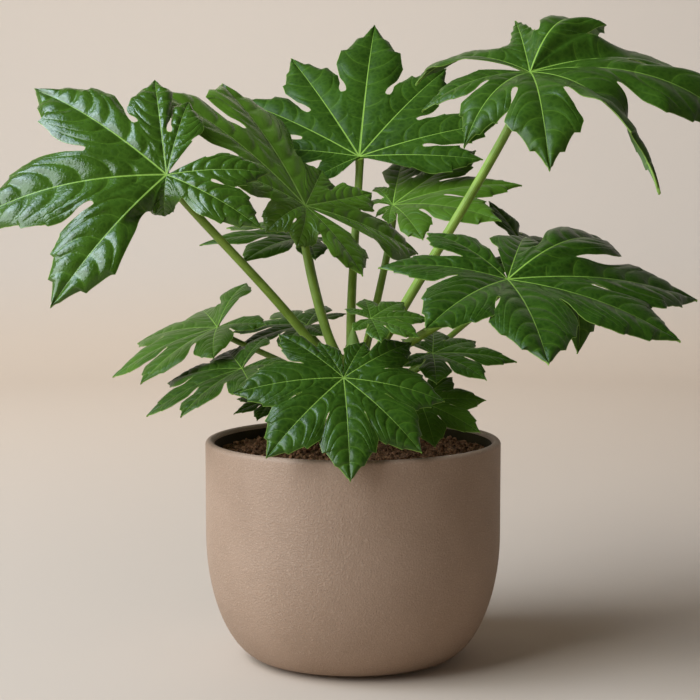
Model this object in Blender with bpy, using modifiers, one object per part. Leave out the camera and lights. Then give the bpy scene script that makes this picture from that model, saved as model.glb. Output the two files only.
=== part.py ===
"""A young fatsia in a round stoneware pot.

Metres, +Z up, X to the right, Y away from the viewer. The origin is the centre of the
flat underside of the pot's foot. The pot, the soil, the stem, each leaf stalk and each
leaf blade is one closed solid with a material of its own.
"""
import bpy
import bmesh
import numpy as np

# Air between pieces that touch on the real plant.
GAP = 0.0003

# The pot.
POT_HEIGHT = 0.193
POT_RADIUS = 0.130
POT_WALL = 0.0077
POT_FLOOR = 0.012
BOWL_TOP = 0.110
FOOT_RADIUS = 0.0745
FOOT_HEIGHT = 0.004
FOOT_BEVEL = 0.001
BOWL_FOOT_RADIUS = 0.078
BOWL_LOWEST_TURN = 0.05
BOWL_CLEAR = 1.3
POT_SIDES = 44

# The soil, with the plain hole that the stem stands in.
SOIL_TOP = 0.180
SOIL_LUMP = 0.0016
SOIL_RINGS = 14
SMALL_LUMPS = 0.7
HOLE_MARGIN = 1.2
HOLE_BOTTOM = 0.120

# The stem.
STEM_RADIUS = 0.0080
STEM_TOP = 0.270
STEM_SIDES = 18
SCAR_COUNT = 7
SCAR_DEPTH = 0.0006
SCAR_WIDTH = 0.003
BUD_TOP = 0.292
BUD = ((0.0, 0.0), (0.0018, 0.005), (0.0042, 0.014), (0.0060, 0.019))
STEM_FOOT = (0.9, 0.6)

# Leaf blades. Lengths on a lobe are shares of the lobe's own length, and the free edge
# runs from 0 at the sinus to 1 at the tip. The two halves of a lobe fold up from its rib.
BLADE_THICKNESS = 0.0008
SINUS = 0.42
RIB_AT_SINUS = 0.30
INNER_ROWS = (0.0, 0.5, 1.0)
FREE_ANGLE = 22.0
FOLD = 0.16
FOLD_LOST = 0.75
TOOTH_DEPTH = 0.022
TOOTH_PEAK = 0.8
SWELL_END = 0.40
TAPER_START = 0.22
TAPER_POWER = 1.7
TIP_PULL = 0.25
SLOT_START = 0.014
EDGE_CLEAR = 0.008
MIX_END = 0.35
FLATTEN_END = 0.30
BEND_STEPS = 49
BEND_LIMIT = 1.2
DROOP_POWER = 1.4
SWEEP_POWER = 1.5
TWIST_START = 0.2
TWIST_SPAN = 0.6
NINE_LOBES = {"angle": (0, 40, 78, 114, 148), "length": (1.0, 0.97, 0.88, 0.72, 0.48), "teeth": 3}
SEVEN_LOBES = {"angle": (0, 44, 88, 132), "length": (1.0, 0.95, 0.80, 0.55), "teeth": 2}
LIFT = 8.0

# Leaf stalks. A stalk leaves the stem square to it, on a flared base, and bends up.
STALK_RISE = 62.0
STALK_SEAT = 0.0006
STALK_FLARE = 1.2
STALK_BEND = 1.3
STALK_ARC_POINTS = 4
STALK_POINTS = 11
STALK_TAPER = 0.25
STALK_TAPER_POINTS = 8
STALK_LEAVE = 0.3
STALK_ARRIVE = 0.1
STALK_ARRIVE_LEAST = 0.015
STALK_SPACING = 1.8

# Each leaf: where its hub is, how far its middle lobe reaches, the compass heading, pitch
# and roll of its blade in degrees, how much its lobes droop, half their width as a share
# of their length, where its stalk leaves the stem (compass angle, height), the stalk's
# radius, and what sets single lobes apart. Lobe 0 is the middle one, 1 and up lie to its
# left and -1 and down to its right, seen from above.
LEAVES = {
    "left_high": dict(
        hub=(-0.157, -0.050, 0.424), reach=0.175, heading=188, pitch=-6, roll=-48,
        droop=25, width=0.21, base=(198, 0.240), stalk=0.0042, first=-3,
        lobes={-3: dict(turn=6, length=0.54), -2: dict(turn=-13, length=0.70),
               -1: dict(turn=-11, length=0.95), 0: dict(sweep=11, droop=32),
               1: dict(turn=8, length=0.92), 2: dict(length=0.30, droop=110),
               3: dict(turn=24, length=0.56), 4: dict(turn=29, length=0.50)}),
    "left_back": dict(
        hub=(-0.042, 0.020, 0.397), reach=0.155, heading=172, pitch=36, roll=-20,
        droop=18, width=0.27, base=(200, 0.262), stalk=0.0042,
        lobes={-4: dict(length=0.78), -3: dict(length=0.55, droop=-6),
               -2: dict(length=0.46, droop=5),
               -1: dict(turn=5, length=1.13, droop=14, width=0.25),
               0: dict(turn=-6, length=1.14, width=0.30), 1: dict(turn=-12, length=0.60),
               2: dict(length=0.36, droop=70), 3: dict(length=0.34, droop=60),
               4: dict(turn=6, length=0.58)}),
    "top": dict(
        hub=(0.006, 0.120, 0.442), reach=0.188, heading=83, pitch=44, roll=0,
        droop=12, width=0.175, open=0.75, base=(95, 0.262), stalk=0.0042, first=-3, rise=45,
        lobes={-3: dict(turn=-8, length=0.62), -2: dict(turn=-13, length=0.72),
               -1: dict(turn=-2, length=0.76), 1: dict(length=0.85),
               2: dict(length=0.80), 3: dict(length=0.50), 4: dict(turn=18, length=0.30)}),
    "right_middle": dict(
        hub=(0.037, 0.095, 0.397), reach=0.122, heading=0, pitch=12, roll=20,
        droop=24, width=0.21, base=(72, 0.240), stalk=0.0038, rise=48,
        lobes={-4: dict(turn=10, length=0.20), -3: dict(turn=12, length=0.32),
               -2: dict(length=0.72), 3: dict(turn=-8, length=0.38, lift=20),
               4: dict(turn=-24, length=0.28)}),
    "right_high": dict(
        hub=(0.149, -0.040, 0.510), reach=0.200, heading=-12, pitch=0, roll=18,
        droop=40, width=0.24, base=(-5, 0.254), stalk=0.0045,
        lobes={0: dict(droop=60, twist=16, width=0.27), 1: dict(turn=-10, droop=54),
               2: dict(turn=-8, length=0.74, lift=45, droop=95),
               3: dict(turn=-10, length=0.46, lift=26, droop=10, width=0.12, twist=-30),
               4: dict(turn=6, length=0.65, lift=18, droop=60),
               -1: dict(turn=-4, length=0.93, droop=75, twist=-60, width=0.18),
               -2: dict(length=0.75, droop=60, width=0.28), -3: dict(length=0.60, droop=60),
               -4: dict(length=0.52)}),
    "right_front": dict(
        hub=(0.127, -0.090, 0.338), reach=0.135, heading=-70, pitch=-22, roll=0,
        droop=25, width=0.26, base=(-40, 0.236), stalk=0.0042, first=-3,
        lobes={0: dict(turn=-9), 1: dict(turn=8, length=1.12), 2: dict(turn=4, length=1.28),
               3: dict(turn=4, length=1.12, lift=24, droop=45), 4: dict(length=0.75, lift=14),
               -1: dict(turn=-15, length=0.90), -2: dict(turn=-36, length=0.80),
               -3: dict(turn=-40, length=0.70, lift=18)}),
    "front": dict(
        hub=(-0.008, -0.085, 0.256), reach=0.108, heading=-85, pitch=-44, roll=-3,
        droop=25, width=0.24, base=(-95, 0.225), stalk=0.0040,
        lobes={0: dict(length=0.95), 1: dict(length=0.88), 2: dict(length=0.81),
               3: dict(turn=12, length=0.72), 4: dict(turn=6, length=0.45),
               -2: dict(turn=-3), -3: dict(turn=-20, length=0.68),
               -4: dict(turn=-8, length=0.42)}),
    "under_back": dict(
        hub=(-0.042, 0.080, 0.367), reach=0.100, heading=190, pitch=0, roll=-12,
        droop=24, width=0.22, base=(140, 0.248), stalk=0.0038, pattern=SEVEN_LOBES,
        lobes={2: dict(length=0.65)}),
    "left_upper": dict(
        hub=(-0.123, 0.050, 0.287), reach=0.105, heading=190, pitch=-22, roll=-10,
        droop=22, width=0.22, base=(160, 0.218), stalk=0.0030, pattern=SEVEN_LOBES,
        lobes={1: dict(turn=-12), 2: dict(turn=-12, length=0.70), -3: dict(length=0.65, lift=28)}),
    "left_lower": dict(
        hub=(-0.096, -0.030, 0.258), reach=0.092, heading=190, pitch=-23, roll=-10,
        droop=22, width=0.22, base=(200, 0.208), stalk=0.0030, pattern=SEVEN_LOBES,
        lobes={1: dict(turn=-12, length=0.85), -3: dict(lift=20)}),
    "left_behind": dict(
        hub=(-0.043, 0.100, 0.285), reach=0.078, heading=160, pitch=-5, roll=-15,
        droop=20, width=0.22, base=(105, 0.228), stalk=0.0028, pattern=SEVEN_LOBES, lobes={}),
    "centre_small": dict(
        hub=(0.015, -0.055, 0.303), reach=0.052, heading=10, pitch=0, roll=22,
        droop=20, width=0.24, base=(-60, 0.262), stalk=0.0022, pattern=SEVEN_LOBES, lobes={}),
    "right_small": dict(
        hub=(0.070, 0.000, 0.268), reach=0.075, heading=0, pitch=-4, roll=18,
        droop=20, width=0.24, base=(0, 0.222), stalk=0.0028, pattern=SEVEN_LOBES,
        lobes={1: dict(length=0.75), -1: dict(length=0.85)}),
    "right_low": dict(
        hub=(0.058, -0.030, 0.229), reach=0.062, heading=-30, pitch=-20, roll=25,
        droop=20, width=0.24, base=(-25, 0.203), stalk=0.0025, pattern=SEVEN_LOBES, lobes={}),
    "left_low": dict(
        hub=(-0.070, 0.020, 0.225), reach=0.040, heading=200, pitch=-15, roll=-15,
        droop=20, width=0.24, base=(165, 0.192), stalk=0.0020, pattern=SEVEN_LOBES, lobes={}),
    "right_back": dict(
        hub=(0.165, 0.110, 0.345), reach=0.120, heading=0, pitch=-12, roll=10,
        droop=45, width=0.22, base=(40, 0.205), stalk=0.0030, rise=45, pattern=SEVEN_LOBES,
        lobes={-1: dict(turn=-10, length=1.05, droop=95), 2: dict(lift=25),
               3: dict(length=0.65, lift=42, droop=5)}),
}

# Finish of each kind of piece: colour, roughness and metallic value.
GREEN_BLADE = ((0.035, 0.130, 0.030), 0.35, 0.0)
GREEN_STALK = ((0.230, 0.360, 0.080), 0.45, 0.0)
BROWN_STEM = ((0.200, 0.210, 0.080), 0.60, 0.0)
EARTH = ((0.040, 0.024, 0.015), 0.95, 0.0)
STONEWARE = ((0.250, 0.190, 0.150), 0.70, 0.0)


def clear_scene():
    """Take every object out of the scene."""
    for old in list(bpy.data.objects):
        bpy.data.objects.remove(old, do_unlink=True)


def new_collection(name):
    """A collection for the plant's pieces, linked to the scene."""
    group = bpy.data.collections.new(name)
    bpy.context.scene.collection.children.link(group)
    return group


def finish(piece, look):
    """Give a piece a Principled material of its own."""
    colour, roughness, metallic = look
    material = bpy.data.materials.new(piece.name)
    material.use_nodes = True
    shader = material.node_tree.nodes["Principled BSDF"]
    shader.inputs["Base Color"].default_value = (*colour, 1.0)
    shader.inputs["Roughness"].default_value = roughness
    shader.inputs["Metallic"].default_value = metallic
    piece.data.materials.append(material)


def smooth(x):
    """Ease from 0 to 1 as x goes from 0 to 1, flat at both ends."""
    x = np.clip(x, 0.0, 1.0)
    return x * x * (3.0 - 2.0 * x)


def turned(name, profile, sides, group):
    """A round solid: a profile of (radius, height) points swept round Z by a Screw."""
    mesh = bpy.data.meshes.new(name)
    points = [(radius, 0.0, height) for radius, height in profile]
    mesh.from_pydata(points, [(i, i + 1) for i in range(len(points) - 1)], [])
    piece = bpy.data.objects.new(name, mesh)
    group.objects.link(piece)
    screw = piece.modifiers.new("Turn", "SCREW")
    screw.steps = sides
    screw.render_steps = sides
    screw.use_merge_vertices = True
    screw.merge_threshold = 0.00005
    return piece


def bowl_radius(height):
    """Outer radius of the pot: upright above BOWL_TOP, a quarter ellipse below it."""
    drop = np.clip((BOWL_TOP - height) / BOWL_TOP, 0.0, 1.0)
    return BOWL_FOOT_RADIUS + (POT_RADIUS - BOWL_FOOT_RADIUS) * np.sqrt(1.0 - drop ** 2)


def inner_wall():
    """Points of the pot's inner wall from the floor's edge up to under the rim."""
    heights = POT_FLOOR + (BOWL_TOP - POT_FLOOR) * (1.0 - np.cos(np.linspace(0.0, np.pi / 2, 8)))
    wall = [(bowl_radius(height) - POT_WALL, height) for height in heights]
    return wall + [(POT_RADIUS - POT_WALL, SOIL_TOP)]


def make_pot(group):
    """The pot: floor, inner wall, round rim, outer wall, bowl and a short inset foot."""
    rim_radius = POT_WALL / 2
    rim = []
    for turn in np.linspace(np.pi, 0.0, 7):
        rim.append((POT_RADIUS - rim_radius + rim_radius * np.cos(turn),
                    POT_HEIGHT - rim_radius + rim_radius * np.sin(turn)))
    outer = []
    for turn in np.linspace(np.pi / 2, BOWL_LOWEST_TURN, 12):
        height = BOWL_TOP * (1.0 - np.cos(turn))
        outer.append((bowl_radius(height), height))
    outer = [point for point in outer if point[1] > FOOT_HEIGHT * BOWL_CLEAR]
    foot = [(bowl_radius(FOOT_HEIGHT), FOOT_HEIGHT), (FOOT_RADIUS, FOOT_HEIGHT),
            (FOOT_RADIUS, FOOT_BEVEL), (FOOT_RADIUS - FOOT_BEVEL, 0.0), (0.0, 0.0)]
    profile = [(0.0, POT_FLOOR)] + inner_wall() + rim + outer + foot
    finish(turned("pot", profile, POT_SIDES, group), STONEWARE)


def make_soil(group):
    """The soil: a filling GAP clear of the pot, with lumps on top and a hole for the stem."""
    hole = STEM_RADIUS + GAP
    side = [(radius - GAP, height) for radius, height in inner_wall()]
    side[0] = (side[0][0], POT_FLOOR + GAP)
    top = [(radius, SOIL_TOP) for radius in np.linspace(hole, side[-1][0], SOIL_RINGS)]
    profile = [(0.0, HOLE_BOTTOM), (hole, HOLE_BOTTOM)] + top + side[-2::-1]
    profile.append((0.0, POT_FLOOR + GAP))
    blank = turned("soil_blank", profile, POT_SIDES, group)
    graph = bpy.context.evaluated_depsgraph_get()
    mesh = bpy.data.meshes.new_from_object(blank.evaluated_get(graph))
    bpy.data.objects.remove(blank)
    for vertex in mesh.vertices:
        x, y, z = vertex.co
        radius = (x * x + y * y) ** 0.5
        if z > SOIL_TOP - GAP and hole * HOLE_MARGIN < radius < side[-1][0] - GAP:
            broad = np.sin(170 * x + 2) * np.cos(150 * y)
            small = SMALL_LUMPS * np.sin(310 * y - 190 * x)
            vertex.co.z = SOIL_TOP + SOIL_LUMP * (broad + small)
    mesh.name = "soil"
    piece = bpy.data.objects.new("soil", mesh)
    group.objects.link(piece)
    finish(piece, EARTH)


def make_stem(group):
    """The stem: upright, with a groove at each old leaf scar and a bud at the top."""
    profile = [(radius, BUD_TOP - drop) for radius, drop in BUD]
    profile.append((STEM_RADIUS, STEM_TOP))
    for height in np.linspace(STEM_TOP - 0.010, SOIL_TOP + 0.004, SCAR_COUNT):
        profile.append((STEM_RADIUS, height))
        profile.append((STEM_RADIUS - SCAR_DEPTH, height - SCAR_WIDTH / 2))
        profile.append((STEM_RADIUS, height - SCAR_WIDTH))
    broad, narrow = STEM_FOOT
    profile += [(STEM_RADIUS, SOIL_TOP - 0.008), (STEM_RADIUS * broad, HOLE_BOTTOM + 0.004),
                (STEM_RADIUS * narrow, HOLE_BOTTOM + GAP), (0.0, HOLE_BOTTOM + GAP)]
    finish(turned("stem", profile, STEM_SIDES, group), BROWN_STEM)


def leaf_axes(leaf):
    """Unit vectors of a blade: along its middle lobe, to that lobe's left, and up off it."""
    heading, pitch, roll = np.radians([leaf["heading"], leaf["pitch"], leaf["roll"]])
    along = np.array([np.cos(pitch) * np.cos(heading), np.cos(pitch) * np.sin(heading),
                      np.sin(pitch)])
    level = np.array([-np.sin(heading), np.cos(heading), 0.0])
    above = np.cross(along, level)
    left = level * np.cos(roll) + above * np.sin(roll)
    return along, left, above * np.cos(roll) - level * np.sin(roll)


def leaf_lobes(leaf):
    """The lobes of a leaf from its right side round to its left, each with its own bend."""
    pattern = leaf.get("pattern", NINE_LOBES)
    last = len(pattern["angle"]) - 1
    lobes = []
    for index in range(leaf.get("first", -last), last + 1):
        own = leaf["lobes"].get(index, {})
        angle = np.sign(index) * pattern["angle"][abs(index)] * leaf.get("open", 1.0)
        lobes.append({"angle": angle + own.get("turn", 0.0),
                      "length": leaf["reach"] * own.get("length", pattern["length"][abs(index)]),
                      "droop": own.get("droop", leaf["droop"]), "lift": own.get("lift", LIFT),
                      "sweep": own.get("sweep", 0.0), "twist": own.get("twist", 0.0),
                      "width": own.get("width", leaf["width"])})
    return lobes


def bend(leaf, lobe, a, b, height):
    """Carry points of the flat leaf into space along one lobe's curved midrib.

    The points are a along the midrib, b to its left and height above the leaf. The midrib
    leaves the hub by the lobe's lift above the blade's plane and then droops, faster
    towards the tip, while sweep turns it sideways and twist rolls the lobe round it.
    """
    along, left, up = leaf_axes(leaf)
    s = np.linspace(0.0, BEND_LIMIT, BEND_STEPS)
    rise = lobe["lift"] * (1.0 - s / 2)
    pitch = np.radians(rise - lobe["droop"] * s ** DROOP_POWER)[:, None]
    yaw = np.radians(lobe["angle"] + lobe["sweep"] * s ** SWEEP_POWER)[:, None]
    roll = np.radians(lobe["twist"] * smooth((s - TWIST_START) / TWIST_SPAN))[:, None]
    out = np.cos(yaw) * along + np.sin(yaw) * left
    across = np.cos(yaw) * left - np.sin(yaw) * along
    tangent = np.cos(pitch) * out + np.sin(pitch) * up
    normal = np.cos(pitch) * up - np.sin(pitch) * out
    across, normal = (np.cos(roll) * across + np.sin(roll) * normal,
                      np.cos(roll) * normal - np.sin(roll) * across)
    steps = (tangent[1:] + tangent[:-1]) / 2 * (s[1] - s[0]) * lobe["length"]
    midrib = np.concatenate([np.zeros((1, 3)), np.cumsum(steps, axis=0)])

    def read(values):
        """The value of a curve sampled at s, at each point's place along the midrib."""
        where = np.clip(a / lobe["length"], 0.0, BEND_LIMIT)
        return np.stack([np.interp(where, s, values[:, axis]) for axis in range(3)], axis=-1)

    behind = np.minimum(a, 0.0)[..., None] * tangent[0]
    place = read(midrib) + behind + b[..., None] * read(across) + height[..., None] * read(normal)
    return np.array(leaf["hub"]) + place


def half_outline(leaf, lobe, beside, outer):
    """Ends of each row of half a lobe: places on the rib, and on the rim along and across.

    Up to the sinus the rim is the line half way to the lobe beside it. Past the sinus it is
    a free edge, which swells, then narrows to the tip, with teeth that point forward. The
    values in outer say how far along the free edge each row is.
    """
    length = lobe["length"]
    if beside:
        half_angle = np.radians(abs(beside["angle"] - lobe["angle"]) / 2)
        depth = SINUS * (length + beside["length"]) / 2
    else:
        half_angle = np.radians(FREE_ANGLE)
        depth = SINUS * length
    sinus_a = depth * np.cos(half_angle)
    sinus_b = depth * np.sin(half_angle)
    teeth = leaf.get("pattern", NINE_LOBES)["teeth"]
    phase = (outer * teeth) % 1.0
    tooth = TOOTH_DEPTH * length * np.where(phase < TOOTH_PEAK + 0.01, phase / TOOTH_PEAK, 0.0)
    tooth = tooth * (outer < 0.99)
    past = np.clip((outer - TAPER_START) / (1.0 - TAPER_START), 0.0, 1.0)
    taper = (1.0 - past ** TAPER_POWER) * (1.0 - TIP_PULL * outer ** 5)
    swell = sinus_b + (lobe["width"] * length - sinus_b) * smooth(outer / SWELL_END)
    edge_a = sinus_a + (length - sinus_a) * outer + 0.5 * tooth
    edge_b = swell * taper - SLOT_START * length * (1.0 - outer) + tooth
    edge_b = np.clip(edge_b, 0.0, edge_a * np.tan(half_angle) - EDGE_CLEAR * length)
    edge_a[-1] = length
    edge_b[-1] = 0.0
    inner = np.array(INNER_ROWS)
    rib_stop = RIB_AT_SINUS * length
    rib_a = np.concatenate([inner * rib_stop, rib_stop + (length - rib_stop) * outer])
    rim_a = np.concatenate([inner * sinus_a, edge_a])
    rim_b = np.concatenate([inner * sinus_b, edge_b])
    return rib_a, rim_a, rim_b


def half_lobe(leaf, lobes, index, side, outer):
    """A grid of points for one half of a lobe: rows from hub to tip, midrib to edge.

    On the line between two lobes both lobes' bends are mixed evenly, so that the halves
    meet. Along the free edge the neighbour's share falls to nothing.
    """
    lobe = lobes[index]
    beside = lobes[index + side] if 0 <= index + side < len(lobes) else None
    rib_a, rim_a, rim_b = half_outline(leaf, lobe, beside, outer)
    whole = np.zeros(len(INNER_ROWS))
    free = np.concatenate([whole, smooth(outer / FLATTEN_END)])[:, None]
    a = np.stack([rib_a, rim_a], axis=1)
    b = np.stack([np.zeros_like(rim_b), rim_b], axis=1)
    height = FOLD * b * (1.0 - FOLD_LOST * free)
    own = bend(leaf, lobe, a, side * b, height)
    if not beside:
        return own
    turn = np.radians(beside["angle"] - lobe["angle"])
    other_a = a * np.cos(turn) + side * b * np.sin(turn)
    other_b = side * b * np.cos(turn) - a * np.sin(turn)
    other = bend(leaf, beside, other_a, other_b, height)
    share = np.concatenate([whole + 0.5, 0.5 * (1.0 - smooth(outer / MIX_END))])
    mix = np.stack([np.zeros_like(share), share], axis=1)[..., None]
    return own * (1.0 - mix) + other * mix


def make_blade(name, leaf, group):
    """One leaf blade: an open, folded and toothed sheet of triangles, made solid."""
    lobes = leaf_lobes(leaf)
    teeth = leaf.get("pattern", NINE_LOBES)["teeth"]
    starts = np.arange(teeth) / teeth
    outer = np.sort(np.concatenate([starts + TOOTH_PEAK / teeth, starts + 1.0 / teeth]))
    sheet = bmesh.new()
    for index in range(len(lobes)):
        for side in (-1, 1):
            grid = half_lobe(leaf, lobes, index, side, outer)
            rows = [[sheet.verts.new(point) for point in row] for row in grid]
            for near, far in zip(rows[:-1], rows[1:]):
                quad = (near[0], near[1], far[1], far[0])
                corners = quad if side < 0 else quad[::-1]
                sheet.faces.new((corners[0], corners[1], corners[2]))
                sheet.faces.new((corners[0], corners[2], corners[3]))
    bmesh.ops.remove_doubles(sheet, verts=sheet.verts, dist=0.00002)
    mesh = bpy.data.meshes.new(name)
    sheet.to_mesh(mesh)
    sheet.free()
    piece = bpy.data.objects.new(name, mesh)
    group.objects.link(piece)
    solid = piece.modifiers.new("Thickness", "SOLIDIFY")
    solid.thickness = BLADE_THICKNESS
    solid.offset = 0.0
    finish(piece, GREEN_BLADE)


def stalk_path(leaf):
    """Centre line of a leaf stalk: an arc up off the stem, then a curve to under the hub."""
    turn, height = np.radians(leaf["base"][0]), leaf["base"][1]
    rise = np.radians(leaf.get("rise", STALK_RISE))
    outward = np.array([np.cos(turn), np.sin(turn), 0.0])
    upward = np.array([0.0, 0.0, 1.0])
    bend_radius = STALK_BEND * STALK_FLARE * leaf["stalk"]
    lean = np.linspace(0.0, rise, STALK_ARC_POINTS)[:, None]
    seat = outward * (STEM_RADIUS + GAP) + upward * height
    arc = (seat + outward * (STALK_SEAT + bend_radius * np.sin(lean))
           + upward * bend_radius * (1.0 - np.cos(lean)))
    start = arc[-1]
    under = -leaf_axes(leaf)[2]
    end = np.array(leaf["hub"]) + under * (BLADE_THICKNESS / 2 + GAP)
    span = np.linalg.norm(end - start)
    leave = start + (outward * np.cos(rise) + upward * np.sin(rise)) * span * STALK_LEAVE
    arrive = end + under * max(STALK_ARRIVE_LEAST, span * STALK_ARRIVE)
    even = np.linspace(1.0, 0.0, STALK_POINTS)
    t = (1.0 - even ** STALK_SPACING)[1:, None]
    curve = (start * (1 - t) ** 3 + 3 * leave * t * (1 - t) ** 2
             + 3 * arrive * t ** 2 * (1 - t) + end * t ** 3)
    return np.concatenate([seat[None], arc, curve])


def make_stalk(name, leaf, group):
    """One leaf stalk: a tube, thicker where it sheathes the stem."""
    curve = bpy.data.curves.new(name, "CURVE")
    curve.dimensions = "3D"
    curve.bevel_depth = leaf["stalk"]
    curve.bevel_resolution = 2
    curve.use_fill_caps = True
    points = stalk_path(leaf)
    spline = curve.splines.new("POLY")
    spline.points.add(len(points) - 1)
    for number, point in enumerate(points):
        spline.points[number].co = (*point, 1.0)
        taper = STALK_TAPER * min(1.0, number / STALK_TAPER_POINTS)
        spline.points[number].radius = STALK_FLARE - taper
    piece = bpy.data.objects.new(name, curve)
    group.objects.link(piece)
    finish(piece, GREEN_STALK)


def main():
    """Build the potted plant."""
    clear_scene()
    group = new_collection("potted_fatsia")
    make_pot(group)
    make_soil(group)
    make_stem(group)
    for name, leaf in LEAVES.items():
        make_stalk(f"{name}_stalk", leaf, group)
        make_blade(f"{name}_blade", leaf, group)


main()
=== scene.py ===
# %% [markdown]
# # A potted fatsia
# The plant is a young fatsia: seven large leaves with eight or nine lobes and nine smaller
# ones with seven, each on its own stalk, on one short stem in a round stoneware pot. The
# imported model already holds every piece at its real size. This lesson gives each piece its
# fine surface and its finish. The frame comes first, because every size below starts there.

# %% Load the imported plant
import bmesh
import bpy
import numpy as np
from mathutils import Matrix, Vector


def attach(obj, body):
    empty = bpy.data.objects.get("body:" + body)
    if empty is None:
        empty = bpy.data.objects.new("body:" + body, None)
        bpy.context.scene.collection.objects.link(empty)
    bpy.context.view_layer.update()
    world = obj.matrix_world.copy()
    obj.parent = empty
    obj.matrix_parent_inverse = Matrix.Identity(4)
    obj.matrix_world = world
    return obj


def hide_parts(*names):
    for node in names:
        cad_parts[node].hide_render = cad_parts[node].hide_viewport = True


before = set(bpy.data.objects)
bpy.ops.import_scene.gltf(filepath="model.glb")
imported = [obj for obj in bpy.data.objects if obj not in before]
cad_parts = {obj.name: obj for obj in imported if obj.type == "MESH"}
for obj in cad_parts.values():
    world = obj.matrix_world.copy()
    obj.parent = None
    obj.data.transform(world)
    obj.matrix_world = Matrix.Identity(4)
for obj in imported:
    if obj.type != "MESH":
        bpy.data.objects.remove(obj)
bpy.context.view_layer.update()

# %% [markdown]
# ## Shader maths
# A finish is a formula: how far a point lies from a vein, how dark a grain is. Written as
# nodes, such a formula is long, so a small class wraps a socket, and Python's operators on
# it add the Math nodes. Any other node comes from its one method, add.

# %% A socket that takes part in expressions
class Wire:
    """A node's output. Operators on it add Math nodes; add() adds any other node."""

    def __init__(self, tree, socket=None):
        self.tree = tree
        self.socket = socket

    def add(self, kind, settings=(), sockets=(), out=0):
        """Add a node of a kind: its settings first, then its sockets' values or links."""
        node = self.tree.nodes.new(kind)
        for name, value in dict(settings).items():
            setattr(node, name, value)
        for name, value in dict(sockets).items():
            if isinstance(value, Wire):
                self.tree.links.new(value.socket, node.inputs[name])
            else:
                node.inputs[name].default_value = value
        return Wire(self.tree, node.outputs[out])

    def math(self, operation, first, second=0.0):
        return self.add("ShaderNodeMath", {"operation": operation}, {0: first, 1: second})

    def __add__(self, other):
        return self.math("ADD", self, other)

    def __radd__(self, other):
        return self.math("ADD", other, self)

    def __sub__(self, other):
        return self.math("SUBTRACT", self, other)

    def __rsub__(self, other):
        return self.math("SUBTRACT", other, self)

    def __mul__(self, other):
        return self.math("MULTIPLY", self, other)

    def __rmul__(self, other):
        return self.math("MULTIPLY", other, self)

    def __truediv__(self, other):
        return self.math("DIVIDE", self, other)

    def __rtruediv__(self, other):
        return self.math("DIVIDE", other, self)

    def __abs__(self):
        return self.math("ABSOLUTE", self)

    def ease(self, low, high):
        """0 where this value is low, 1 where it is high, eased between; low may be above high."""
        limits = {"Value": self, "From Min": low, "From Max": high}
        return self.add("ShaderNodeMapRange", {"interpolation_type": "SMOOTHSTEP"}, limits)


def blend_colours(share, first, second):
    """The first colour where share is 0 and the second where it is 1."""
    first, second = [c if isinstance(c, Wire) else (*c, 1.0) for c in (first, second)]
    return share.add("ShaderNodeMix", {"data_type": "RGBA"}, {0: share, 6: first, 7: second}, 2)


def noise(where, scale, detail=2.0, roughness=0.5):
    """Fractal noise from 0 to 1, with about scale waves in a metre."""
    sockets = {"Vector": where, "Scale": scale, "Detail": detail, "Roughness": roughness}
    return where.add("ShaderNodeTexNoise", {}, sockets, "Fac")


def bump(height, distance, strength=1.0):
    """The normal of a surface raised by height times distance, in metres."""
    sockets = {"Height": height, "Distance": distance, "Strength": strength}
    return height.add("ShaderNodeBump", {}, sockets)


def new_material(name):
    """A material, its Principled shader and a wire that holds the place on the object."""
    material = bpy.data.materials.new(name)
    material.use_nodes = True
    tree = material.node_tree
    where = Wire(tree).add("ShaderNodeTexCoord", {}, {}, "Object")
    return material, tree.nodes["Principled BSDF"], where


def feed(shader, **values):
    """Set a shader's sockets: a wire is linked and a number or colour is set on the socket."""
    for name, value in values.items():
        socket = shader.inputs[name.replace("_", " ")]
        if isinstance(value, Wire):
            value.tree.links.new(value.socket, socket)
        else:
            socket.default_value = value


print("shader helpers ready")

# %% [markdown]
# ## From grids of points to a mesh
# Each fine piece is worked out as whole arrays: a grid of points with rows and columns. This
# step joins grids into one mesh, merges the points that they share, and keeps for each
# corner of a face the pattern coordinates of its own grid, since two grids that meet along a
# line may measure their pattern from different places.

# %% Join grids
def grid_faces(rows, columns, start, flip):
    """Corner numbers of a grid's squares, turned over if flip is set."""
    corner = start + np.arange(rows * columns).reshape(rows, columns)
    quads = np.stack([corner[:-1, :-1], corner[:-1, 1:], corner[1:, 1:], corner[1:, :-1]], -1)
    quads = quads.reshape(-1, 4)
    return quads[:, ::-1] if flip else quads


def mesh_from(name, points, faces, maps=None, slots=None, merge=None):
    """A mesh from arrays: points, four-cornered faces, and maps of a 2-D value at each point."""
    mesh = bpy.data.meshes.new(name)
    mesh.from_pydata(points.tolist(), [], faces.tolist())
    for title, values in (maps or {}).items():
        layer = mesh.uv_layers.new(name=title)
        layer.data.foreach_set("uv", values[faces.ravel()].astype(np.float32).ravel())
    if slots is not None:
        mesh.polygons.foreach_set("material_index", slots.astype(np.int32))
    if merge:
        work = bmesh.new()
        work.from_mesh(mesh)
        bmesh.ops.remove_doubles(work, verts=work.verts, dist=merge)
        work.to_mesh(mesh)
        work.free()
    return mesh


def show(name, mesh, materials, slot, *nodes, sharp=40.0):
    """Put a mesh in the scene under the root body, in place of CAD nodes, which it hides."""
    piece = bpy.data.objects.new(name, mesh)
    bpy.context.scene.collection.objects.link(piece)
    for material in materials:
        mesh.materials.append(material)
    mesh.shade_smooth()
    mesh.set_sharp_from_angle(angle=np.radians(sharp))
    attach(piece, "root")
    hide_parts(*nodes)
    return piece


def smooth(x):
    """Ease from 0 to 1 as x goes from 0 to 1, flat at both ends."""
    x = np.clip(x, 0.0, 1.0)
    return x * x * (3.0 - 2.0 * x)


print("mesh helpers ready")

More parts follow.
